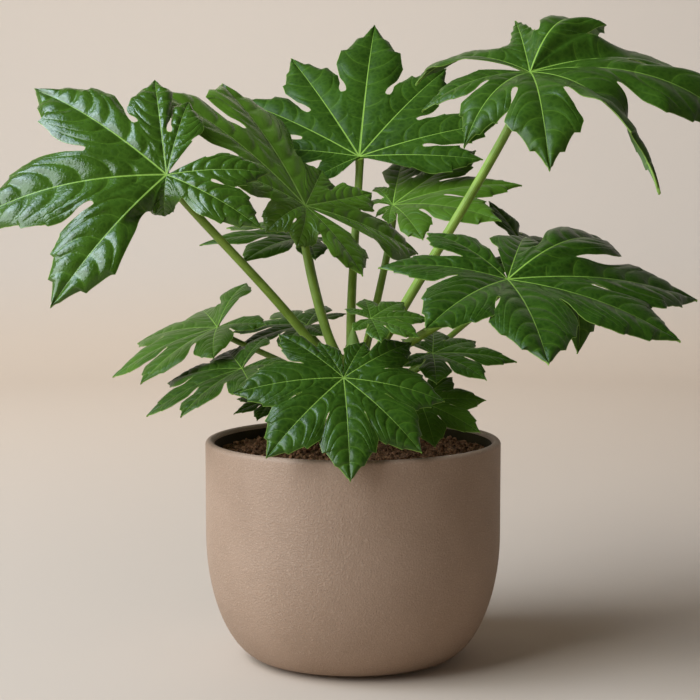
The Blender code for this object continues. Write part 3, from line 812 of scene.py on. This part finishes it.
def make_blade(name, leaf, seed):
    """One leaf blade as a fine closed mesh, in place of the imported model's plain one."""
    draw = np.random.default_rng(seed)
    lobes = leaf_lobes(leaf)
    outer = free_rows(leaf.get("pattern", NINE_LOBES)["teeth"])
    points, faces, halves = [], [], []
    start = 0
    for index in range(len(lobes)):
        for side in (-1, 1):
            place, patterns = half_lobe(leaf, lobes, index, side, outer, draw)
            rows, columns = place.shape[:2]
            faces.append(grid_faces(rows, columns, start, side > 0))
            points.append(place.reshape(-1, 3))
            halves.append(patterns)
            start += rows * columns
    maps = {title: np.concatenate([half[title].reshape(-1, 2) for half in halves])
            for title in ("lobe", "rim", "vein")}
    points, faces = np.concatenate(points), np.concatenate(faces)
    sheet = mesh_from(f"{name}_sheet", points, faces, maps, merge=MERGE)
    mesh = close_sheet(f"{name}_leaf", sheet, hang_below(sheet, leaf))
    bpy.data.meshes.remove(sheet)
    top = blade_top(f"{name}_top", leaf["tone"], leaf.get("gloss", 1.0), leaf["quilt"])
    return show(f"{name}_leaf", mesh, [top, UNDERSIDE, RIM], "leaf", f"{name}_blade")


triangles = 0
for seed, (name, leaf) in enumerate(LEAVES.items()):
    blade = make_blade(name, leaf, seed)
    triangles += sum(len(face.vertices) - 2 for face in blade.data.polygons)
print("blades", len(LEAVES), "triangles", triangles)

# %% [markdown]
# ## The stalks
# A leaf stalk sheathes the stem with a flared base, bends up at once, then runs in one easy
# curve to the hub, where it swells a little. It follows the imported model's centre line: an
# arc off the stem and a cubic curve. A ring of points is carried along it without twisting.

# %% Build the stalks
GAP = 0.0003
STEM_RADIUS = 0.0080
STALK_RISE = 62.0
STALK_SEAT = 0.0006
STALK_FLARE = 1.2
STALK_BEND = 1.3
STALK_LEAVE = 0.3
STALK_ARRIVE = 0.1
STALK_ARRIVE_LEAST = 0.015
STALK_UNDER_HUB = 0.6
STALK_ARC_STEPS = 12
STALK_CURVE_STEPS = 400
STALK_EASE = 0.55
STALK_SIDES = 20
STALK_ROWS = 70
BASE_FLARE = 0.32
BASE_LENGTH = 0.010
HUB_SWELL = 0.16
HUB_SHARE = 0.06
SLIMMING = 0.12
SLIM_BY = 1.2
STALK_RIDGES = 18


def stalk_path(leaf):
    """Centre line: straight off the stem, an arc up, then a cubic curve to under the hub."""
    turn, height = np.radians(leaf["base"][0]), leaf["base"][1]
    rise = np.radians(leaf.get("rise", STALK_RISE))
    outward = np.array([np.cos(turn), np.sin(turn), 0.0])
    upward = np.array([0.0, 0.0, 1.0])
    bend_radius = STALK_BEND * STALK_FLARE * leaf["stalk"]
    lean = np.linspace(0.0, rise, STALK_ARC_STEPS)[:, None]
    seat = outward * (STEM_RADIUS + GAP) + upward * height
    arc = (seat + outward * (STALK_SEAT + bend_radius * np.sin(lean))
           + upward * bend_radius * (1.0 - np.cos(lean)))
    start = arc[-1]
    under = -leaf_axes(leaf)[2]
    depth = BLADE_THICKNESS + RIB_DEPTH * leaf["reach"] * STALK_UNDER_HUB
    end = np.array(leaf["hub"]) + under * depth
    span = np.linalg.norm(end - start)
    leave = start + (outward * np.cos(rise) + upward * np.sin(rise)) * span * STALK_LEAVE
    arrive = end + under * max(STALK_ARRIVE_LEAST, span * STALK_ARRIVE)
    t = np.linspace(0.0, 1.0, STALK_CURVE_STEPS)[1:, None]
    curve = (start * (1 - t) ** 3 + 3 * leave * t * (1 - t) ** 2
             + 3 * arrive * t ** 2 * (1 - t) + end * t ** 3)
    line = np.concatenate([seat[None], arc, curve])
    steps = np.concatenate([[0.0], np.cumsum(np.linalg.norm(np.diff(line, axis=0), axis=1))])
    ease = np.linspace(0.0, 1.0, STALK_ROWS)
    marks = steps[-1] * (STALK_EASE * ease + (1.0 - STALK_EASE) * ease ** 2)
    return np.stack([np.interp(marks, steps, line[:, axis]) for axis in range(3)], 1), marks


def tube(path, radii, sides):
    """A ring of points round each point of a path, kept from twisting, with closed ends.

    The ring's first direction starts square to the path, and at each step the part of it
    that lies along the path is taken away.
    """
    tangent = np.gradient(path, axis=0)
    tangent /= np.linalg.norm(tangent, axis=1)[:, None]
    first = np.cross(tangent[0], [0.0, 0.0, 1.0])
    if np.linalg.norm(first) < 0.1:
        first = np.cross(tangent[0], [1.0, 0.0, 0.0])
    sideways = []
    for direction in tangent:
        first = first - direction * (first @ direction)
        first = first / np.linalg.norm(first)
        sideways.append(first)
    sideways = np.array(sideways)
    other = np.cross(tangent, sideways)
    turn = np.linspace(0.0, 2.0 * np.pi, sides + 1)
    ring = (np.cos(turn)[None, :, None] * sideways[:, None]
            + np.sin(turn)[None, :, None] * other[:, None])
    points = path[:, None] + ring * radii[..., None]
    return np.concatenate([np.repeat(path[:1, None], sides + 1, 1), points,
                           np.repeat(path[-1:, None], sides + 1, 1)])


def stalk_finish(name):
    """Light yellow-green skin with fine long ridges, browner where it sheathes the stem."""
    material, shader, where = new_material(name)
    around, along = map_wires(where, "stalk")
    ridges = around.math("SINE", around * (2.0 * np.pi * STALK_RIDGES))
    patches = noise(where, 70.0, 4.0)
    colour = blend_colours(patches.ease(0.3, 0.7), (0.160, 0.260, 0.024), (0.240, 0.370, 0.045))
    colour = blend_colours(ridges.ease(-0.2, 1.0) * 0.25, colour, (0.28, 0.40, 0.07))
    colour = blend_colours(along.ease(0.03, 0.0) * 0.5, colour, (0.16, 0.17, 0.05))
    feed(shader, Base_Color=colour, Roughness=0.38 + 0.15 * patches, Specular_IOR_Level=0.35,
         Normal=bump(ridges * 0.3 + noise(where, 500.0) * 0.7, 0.0004, 0.5))
    return material


def make_stalk(name, leaf, finish):
    """One leaf stalk, flared at its base and swollen under the blade."""
    path, marks = stalk_path(leaf)
    share = marks / marks[-1]
    flare = 1.0 + BASE_FLARE * np.exp(-marks / BASE_LENGTH)
    swollen = HUB_SWELL * smooth((share - 1.0 + HUB_SHARE) / HUB_SHARE)
    slim = 1.0 - SLIMMING * smooth(share * SLIM_BY)
    radii = leaf["stalk"] * (flare + swollen) * slim
    points = tube(path, np.repeat(radii[:, None], STALK_SIDES + 1, 1), STALK_SIDES)
    rows, columns = points.shape[:2]
    around = np.broadcast_to(np.linspace(0.0, 1.0, columns), (rows, columns))
    along = np.broadcast_to(np.concatenate([[0.0], marks, marks[-1:]])[:, None], (rows, columns))
    maps = {"stalk": np.stack([around, along], axis=-1).reshape(-1, 2)}
    faces = grid_faces(rows, columns, 0, False)
    mesh = mesh_from(f"{name}_petiole", points.reshape(-1, 3), faces, maps, merge=MERGE)
    return show(f"{name}_petiole", mesh, [finish], "stalk", f"{name}_stalk")


STALK_SKIN = stalk_finish("stalk_skin")
for name, leaf in LEAVES.items():
    make_stalk(name, leaf, STALK_SKIN)
print("stalks", len(LEAVES))

# %% [markdown]
# ## The stem
# The stem is short and half woody. It carries a ring scar for each leaf that has dropped, a
# grey-green bark with fine cracks, and at its top a pointed bud. It is one turned profile
# whose radius dips in a groove at each scar.

# %% Build the stem
SOIL_TOP = 0.180
STEM_TOP = 0.270
BUD_TOP = 0.292
BUD_POWER = 0.8
BUD_BEGINS = 0.99
HOLE_BOTTOM = 0.120
SCARS = 7
SCAR_DEPTH = 0.0006
SCAR_WIDTH = 0.08
SCARS_OVER_SOIL = 0.0025
SCARS_UNDER_TOP = 0.0115
STEM_FOOT = 0.6
STEM_FOOT_HEIGHT = 0.012
STEM_ROWS = 150
STEM_SIDES = 40


def turned(radii, heights, sides):
    """Points of a round skin: radii at heights, turned about the vertical axis."""
    turn = np.linspace(0.0, 2.0 * np.pi, sides + 1)
    x = radii[:, None] * np.cos(turn)
    y = radii[:, None] * np.sin(turn)
    z = np.broadcast_to(heights[:, None], x.shape)
    return np.stack([x, y, z], axis=-1)


def stem_radius(heights):
    """Radius by height: narrow in its hole, grooved at the scars, drawn in to the bud."""
    lowest = SOIL_TOP + SCARS_OVER_SOIL
    spacing = (STEM_TOP - SCARS_UNDER_TOP - lowest) / (SCARS - 1)
    phase = ((heights - lowest) / spacing) % 1.0
    scar = SCAR_DEPTH * np.exp(-(np.minimum(phase, 1.0 - phase) / SCAR_WIDTH) ** 2)
    foot = STEM_FOOT + (1.0 - STEM_FOOT) * smooth((heights - HOLE_BOTTOM) / STEM_FOOT_HEIGHT)
    bud = np.clip((BUD_TOP - heights) / (BUD_TOP - STEM_TOP), 0.0, 1.0) ** BUD_POWER
    return STEM_RADIUS * foot * bud - scar * (bud > BUD_BEGINS)


def bark(name):
    """Green young bark, cracked lengthwise, brown near the soil."""
    material, shader, where = new_material(name)
    height = where.add("ShaderNodeSeparateXYZ", {}, {0: where}, "Z")
    drawn = where.add("ShaderNodeMapping", {}, {"Vector": where, "Scale": (1.0, 1.0, 0.25)})
    cracks = noise(drawn, 420.0, 5.0, 0.65)
    colour = blend_colours(cracks.ease(0.35, 0.65), (0.100, 0.130, 0.030), (0.20, 0.26, 0.07))
    colour = blend_colours(height.ease(0.23, 0.18) * 0.8, colour, (0.11, 0.075, 0.038))
    colour = blend_colours(height.ease(0.262, 0.280), colour, (0.21, 0.34, 0.06))
    feed(shader, Base_Color=colour, Roughness=0.7, Normal=bump(cracks, 0.0012, 0.7))
    return material


stem_heights = np.linspace(HOLE_BOTTOM + GAP, BUD_TOP, STEM_ROWS)
stem_heights = np.concatenate([stem_heights[:1], stem_heights])
stem_radii = stem_radius(stem_heights)
stem_radii[[0, -1]] = 0.0
stem_points = turned(stem_radii, stem_heights, STEM_SIDES)
stem_faces = grid_faces(*stem_points.shape[:2], 0, False)
stem_mesh = mesh_from("stem_wood", stem_points.reshape(-1, 3), stem_faces, merge=MERGE)
show("stem_wood", stem_mesh, [bark("stem_bark")], "stem", "stem")
print("stem faces", len(stem_mesh.polygons))

# %% [markdown]
# ## The pot
# The pot is thrown stoneware: upright above, a quarter ellipse below, and a short inset foot.
# The profile is the imported model's, with the same driving sizes, read at many more points,
# and the rim is a true half round. Its clay is matt with a fine sandy grain, so the finish
# is a bump of small noise with freckles of lighter and darker clay. The faces past the rim
# have a second material: painted shade, dark olive, where the inner wall lies in shade.

# %% Build the pot
POT_HEIGHT = 0.193
POT_RADIUS = 0.130
POT_WALL = 0.0077
POT_FLOOR = 0.012
BOWL_TOP = 0.110
FOOT_RADIUS = 0.0745
FOOT_HEIGHT = 0.004
FOOT_BEVEL = 0.001
BEVEL_CUT = 0.0003
BOWL_FOOT_RADIUS = 0.078
BOWL_START = 0.30
BOWL_EDGE = (0.0012, 0.0006)
BOWL_ROWS, UPRIGHT_ROWS, RIM_ROWS = 26, 14, 15
INNER_ROWS, INNER_BOWL_ROWS = 8, 10
POT_SIDES = 176


def bowl_radius(height):
    """Outer radius of the pot: upright above BOWL_TOP, a quarter ellipse below it."""
    drop = np.clip((BOWL_TOP - height) / BOWL_TOP, 0.0, 1.0)
    return BOWL_FOOT_RADIUS + (POT_RADIUS - BOWL_FOOT_RADIUS) * np.sqrt(1.0 - drop ** 2)


def pot_profile():
    """Radius and height from the underside's centre, up the outside and down the inside.

    The second value is the number of the profile's last point before the painted shade inside.
    """
    edge_in, edge_down = BOWL_EDGE
    foot = [(0.0, 0.0), (FOOT_RADIUS - FOOT_BEVEL, 0.0), (FOOT_RADIUS - BEVEL_CUT, BEVEL_CUT),
            (FOOT_RADIUS, FOOT_BEVEL), (FOOT_RADIUS, FOOT_HEIGHT - edge_down)]
    lean = np.linspace(BOWL_START, np.pi / 2, BOWL_ROWS)
    height = BOWL_TOP * (1.0 - np.cos(lean))
    edge = [(bowl_radius(height[0]) - edge_in, height[0] - edge_down)]
    wall = list(zip(bowl_radius(height), height))
    heights = np.linspace(BOWL_TOP, POT_HEIGHT - POT_WALL / 2, UPRIGHT_ROWS)
    upright = [(POT_RADIUS, h) for h in heights[1:-1]]
    turn = np.linspace(0.0, np.pi, RIM_ROWS)
    rim = list(zip(POT_RADIUS - POT_WALL / 2 * (1.0 - np.cos(turn)),
                   POT_HEIGHT - POT_WALL / 2 * (1.0 - np.sin(turn))))
    inside = [(POT_RADIUS - POT_WALL, h) for h in np.linspace(SOIL_TOP, BOWL_TOP, INNER_ROWS)]
    sink = np.linspace(0.0, np.pi / 2, INNER_BOWL_ROWS)[1:]
    low = POT_FLOOR + (BOWL_TOP - POT_FLOOR) * (1.0 - np.sin(sink))
    inside += list(zip(bowl_radius(low) - POT_WALL, low))
    shade_painted_from = len(foot + edge + wall + upright + rim) - 1
    return np.array(foot + edge + wall + upright + rim + inside + [(0.0, POT_FLOOR)]), shade_painted_from


def stoneware(name):
    """Matt taupe clay: a dimpled, sandy bump, freckles and broad soft changes of shade."""
    material, shader, where = new_material(name)
    broad = noise(where, 9.0, 4.0, 0.6)
    dimples = noise(where, 620.0, 3.0, 0.6)
    freckle = noise(where, 1400.0, 1.0)
    colour = blend_colours(broad.ease(0.3, 0.7), (0.310, 0.206, 0.138), (0.362, 0.246, 0.170))
    colour = blend_colours(dimples.ease(0.52, 0.70) * 0.5, colour, (0.46, 0.335, 0.245))
    colour = blend_colours(freckle.ease(0.58, 0.72) * 0.6, colour, (0.16, 0.105, 0.070))
    feed(shader, Base_Color=colour, Roughness=0.50 + 0.2 * dimples,
         Normal=bump(dimples + 0.3 * freckle, 0.0011, 0.6), Specular_IOR_Level=0.5)
    return material


def inner_painted_shade(name):
    """Painted shade on the inner wall: dark olive, almost matt, cloudy in places."""
    material, shader, where = new_material(name)
    clouds = noise(where, 60.0, 4.0)
    colour = blend_colours(clouds, (0.022, 0.017, 0.005), (0.050, 0.038, 0.014))
    feed(shader, Base_Color=colour, Roughness=0.6 + 0.2 * clouds,
         Normal=bump(noise(where, 330.0, 3.0), 0.0008, 0.5), Specular_IOR_Level=0.12)
    return material


profile, shade_painted_from = pot_profile()
pot_points = turned(profile[:, 0], profile[:, 1], POT_SIDES)
pot_faces = grid_faces(len(profile), POT_SIDES + 1, 0, False)
# The faces inside the pot, past the rim, take the second material: painted shade.
pot_slots = np.repeat(np.arange(len(profile) - 1) >= shade_painted_from, POT_SIDES)
pot_mesh = mesh_from("stoneware_pot", pot_points.reshape(-1, 3), pot_faces,
                     slots=pot_slots, merge=MERGE)
pot_finishes = [stoneware("stoneware"), inner_painted_shade("inner_painted_shade")]
show("stoneware_pot", pot_mesh, pot_finishes, "pot", "pot")
print("pot faces", len(pot_mesh.polygons))

# %% [markdown]
# ## The soil
# Potting soil is a loose heap of crumbs. The filling is one closed skin that follows the
# pot's inner wall and has a rough top, worked out as a sum of waves. The crumbs are some two
# thousand small uneven balls of earth, of 20 faces each, all in one mesh with the filling.

# %% Build the soil
HOLE = STEM_RADIUS + GAP
SOIL_SIDES = 120
SOIL_RINGS = 60
SOIL_WALL_ROWS = 16
LUMP_HEIGHT = 0.0014
FINE_HEIGHT = 0.0007
CRUMBS = 2200
CRUMB_SMALL = 0.0011
CRUMB_LARGE = 0.0034
CRUMB_SEED = 7
CRUMB_CLEAR = 1.4
CRUMB_RISE = (-0.3, 0.6)
CRUMB_STRETCH = (0.65, 1.25)
CRUMB_DENTS = (0.75, 1.2)
MOSTLY_SMALL = 2.5


def soil_height(x, y):
    """Height of the soil's top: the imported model's lumps with finer waves added."""
    lumps = np.sin(170 * x + 2) * np.cos(150 * y) + 0.7 * np.sin(310 * y - 190 * x)
    fine = np.sin(730 * x + 3 * np.sin(410 * y)) * np.sin(690 * y + 2 * np.sin(530 * x))
    return SOIL_TOP + LUMP_HEIGHT * lumps + FINE_HEIGHT * fine


def soil_skin():
    """Points of the filling: a closed turned skin whose top is moved to soil_height."""
    lean = np.linspace(0.0, np.pi / 2, SOIL_WALL_ROWS)
    low = POT_FLOOR + (BOWL_TOP - POT_FLOOR) * (1.0 - np.cos(lean))
    wall = np.stack([bowl_radius(low) - POT_WALL - GAP, low], axis=1)
    wall[0, 1] += GAP
    top_radii = np.linspace(POT_RADIUS - POT_WALL - GAP, HOLE, SOIL_RINGS)
    top = np.stack([top_radii, np.full(SOIL_RINGS, SOIL_TOP)], axis=1)
    middle = np.array([(0.0, POT_FLOOR + GAP)])
    hole = np.array([(HOLE, HOLE_BOTTOM), (0.0, HOLE_BOTTOM)])
    line = np.concatenate([middle, wall, top, hole])
    points = turned(line[:, 0], line[:, 1], SOIL_SIDES)
    first = 1 + len(wall)
    surface = points[first:first + SOIL_RINGS]
    surface[..., 2] = soil_height(surface[..., 0], surface[..., 1])
    return points


def ball():
    """Points and faces of a small ball with 20 triangles, from an icosahedron."""
    work = bmesh.new()
    bmesh.ops.create_icosphere(work, subdivisions=1, radius=1.0)
    points = np.array([vertex.co for vertex in work.verts])
    faces = np.array([[vertex.index for vertex in face.verts] for face in work.faces])
    work.free()
    return points, faces


def crumbs(draw):
    """Uneven balls scattered on the soil: each has its own size, stretch, turn and dents."""
    points, faces = ball()
    angle = draw.uniform(0.0, 2.0 * np.pi, CRUMBS)
    low, high = HOLE + CRUMB_LARGE, POT_RADIUS - POT_WALL - CRUMB_CLEAR * CRUMB_LARGE
    radius = np.sqrt(draw.uniform(low ** 2, high ** 2, CRUMBS))
    x, y = radius * np.cos(angle), radius * np.sin(angle)
    large = draw.uniform(0.0, 1.0, CRUMBS) ** MOSTLY_SMALL
    size = CRUMB_SMALL + (CRUMB_LARGE - CRUMB_SMALL) * large
    z = soil_height(x, y) + size * draw.uniform(*CRUMB_RISE, CRUMBS)
    stretch = draw.uniform(*CRUMB_STRETCH, (CRUMBS, 1, 3))
    dents = draw.uniform(*CRUMB_DENTS, (CRUMBS, len(points), 1))
    shape = points[None] * stretch * dents * size[:, None, None]
    turn = draw.uniform(0.0, 2.0 * np.pi, CRUMBS)[:, None]
    turned_x = shape[..., 0] * np.cos(turn) - shape[..., 1] * np.sin(turn)
    turned_y = shape[..., 0] * np.sin(turn) + shape[..., 1] * np.cos(turn)
    place = np.stack([turned_x, turned_y, shape[..., 2]], -1) + np.stack([x, y, z], 1)[:, None]
    all_faces = faces[None] + (np.arange(CRUMBS) * len(points))[:, None, None]
    return place.reshape(-1, 3), all_faces.reshape(-1, 3)


def earth(name):
    """Dark brown potting soil, lighter and redder in patches, with pale specks, never shiny."""
    material, shader, where = new_material(name)
    clods = noise(where, 260.0, 4.0, 0.7)
    specks = noise(where, 900.0, 2.0)
    colour = blend_colours(clods.ease(0.35, 0.7), (0.070, 0.034, 0.016), (0.40, 0.200, 0.098))
    colour = blend_colours(specks.ease(0.64, 0.74) * 0.6, colour, (0.50, 0.30, 0.17))
    feed(shader, Base_Color=colour, Roughness=0.95, Normal=bump(clods + 0.5 * specks, 0.0015, 0.8),
         Specular_IOR_Level=0.2)
    return material


skin = soil_skin()
skin_faces = grid_faces(*skin.shape[:2], 0, False)
skin_mesh = mesh_from("soil_skin", skin.reshape(-1, 3), skin_faces, merge=MERGE)
crumb_points, crumb_faces = crumbs(np.random.default_rng(CRUMB_SEED))
crumb_mesh = mesh_from("crumb_scatter", crumb_points, crumb_faces)
joined = bmesh.new()
joined.from_mesh(skin_mesh)
joined.from_mesh(crumb_mesh)
soil_mesh = bpy.data.meshes.new("potting_soil")
joined.to_mesh(soil_mesh)
joined.free()
show("potting_soil", soil_mesh, [earth("earth")], "soil", "soil", sharp=30.0)
print("soil faces", len(soil_mesh.polygons), "crumbs", CRUMBS)

# %% [markdown]
# ## The studio
# The plant stands in the middle of a pale bowl, whose floor runs up into its wall in one
# sweep, so from every side no line crosses the picture. A glossy leaf mirrors what stands
# round it, so the bowl's upper wall on the camera's side is dark: pale there, it would lay a
# milky veil over every leaf that leans to the viewer. Daylight comes from the left: a large
# soft panel there, a smaller cool one overhead that gives the leaves their sheen, and a third
# that stands behind the plant, faces away from it and lights the wall.

# %% Floor and wall
FLOOR_RADIUS = 2.2
SWEEP = 1.1
SWEEP_ROWS = 24
WALL_TOP = 3.8
BOWL_SIDES = 96
FLOOR_COLOUR = (0.56, 0.465, 0.375)
WALL_COLOUR = (0.53, 0.470, 0.410)
HIGH_COLOUR = (0.060, 0.050, 0.040)
FLOOR_END = 0.25
DARK_FROM, DARK_TO = 1.2, 2.2
DARK_SIDE = 0.8


def studio_bowl():
    """A floor disc that curves up through a quarter circle into an upright round wall."""
    lean = np.linspace(0.0, np.pi / 2, SWEEP_ROWS)
    radii = np.concatenate([[0.0], FLOOR_RADIUS + SWEEP * np.sin(lean), [FLOOR_RADIUS + SWEEP]])
    heights = np.concatenate([[0.0], SWEEP * (1.0 - np.cos(lean)), [WALL_TOP]])
    points = turned(radii, heights, BOWL_SIDES)
    faces = grid_faces(len(radii), BOWL_SIDES + 1, 0, True)
    mesh = mesh_from("studio_bowl", points.reshape(-1, 3), faces, merge=MERGE)
    bowl = bpy.data.objects.new("studio_bowl", mesh)
    bpy.context.scene.collection.objects.link(bowl)
    material, shader, where = new_material("pale_wall")
    height = where.add("ShaderNodeSeparateXYZ", {}, {0: where}, "Z")
    depth = where.add("ShaderNodeSeparateXYZ", {}, {0: where}, "Y")
    colour = blend_colours(height.ease(0.0, FLOOR_END), FLOOR_COLOUR, WALL_COLOUR)
    dark = height.ease(DARK_FROM, DARK_TO) * depth.ease(DARK_SIDE, -DARK_SIDE)
    colour = blend_colours(dark, colour, HIGH_COLOUR)
    feed(shader, Base_Color=colour, Roughness=0.85, Specular_IOR_Level=0.1)
    mesh.materials.append(material)
    mesh.shade_smooth()


studio_bowl()
print("bowl radius", FLOOR_RADIUS + SWEEP)


# %% Lights
def area_light(name, place, target, size, power, colour, spread=180.0):
    """A square soft light that looks at a target, spreads in degrees and is itself not seen."""
    light = bpy.data.lights.new(name, "AREA")
    light.size = size
    light.energy = power
    light.color = colour
    light.spread = np.radians(spread)
    lamp = bpy.data.objects.new(name, light)
    bpy.context.scene.collection.objects.link(lamp)
    lamp.location = place
    lamp.rotation_euler = (Vector(target) - Vector(place)).to_track_quat("-Z", "Y").to_euler()
    lamp.visible_camera = False


MIDDLE = (0.0, 0.0, 0.30)
area_light("window_light", (-2.0, -0.9, 1.7), MIDDLE, 2.4, 124.0, (0.84, 0.92, 1.0))
area_light("sky_light", (-1.5, -0.1, 2.4), MIDDLE, 1.2, 30.0, (0.62, 0.77, 1.0))
area_light("wall_light", (-0.6, 1.2, 2.6), (-0.3, 3.2, 1.0), 1.6, 37.0, (1.0, 0.975, 0.94), 145.0)
world = bpy.data.worlds.new("studio_air")
world.use_nodes = True
air = world.node_tree.nodes["Background"].inputs
air["Color"].default_value = (1.0, 0.90, 0.78, 1.0)
air["Strength"].default_value = 0.03
bpy.context.scene.world = world
bpy.context.scene.view_settings.view_transform = "Standard"
print("lights", len(bpy.data.lights))

# %% [markdown]
# The camera stands where the rim and the foot of the pot draw the ellipses of the reference
# view: a little above the pot, a metre and a half in front of it, and looking slightly down.

# %% Camera
CAMERA_PLACE = (-0.0027, -1.5131, 0.4154)
CAMERA_PITCH = 5.45
FOCAL_PIXELS = 1730.0
PICTURE_PIXELS = 700.0
SENSOR = 36.0
camera_data = bpy.data.cameras.new("camera")
camera_data.sensor_width = SENSOR
camera_data.lens = FOCAL_PIXELS / PICTURE_PIXELS * SENSOR
camera = bpy.data.objects.new("camera", camera_data)
bpy.context.scene.collection.objects.link(camera)
camera.location = CAMERA_PLACE
camera.rotation_euler = (np.radians(90.0 - CAMERA_PITCH), 0.0, 0.0)
bpy.context.scene.camera = camera
print("lens in mm", round(camera_data.lens, 2))
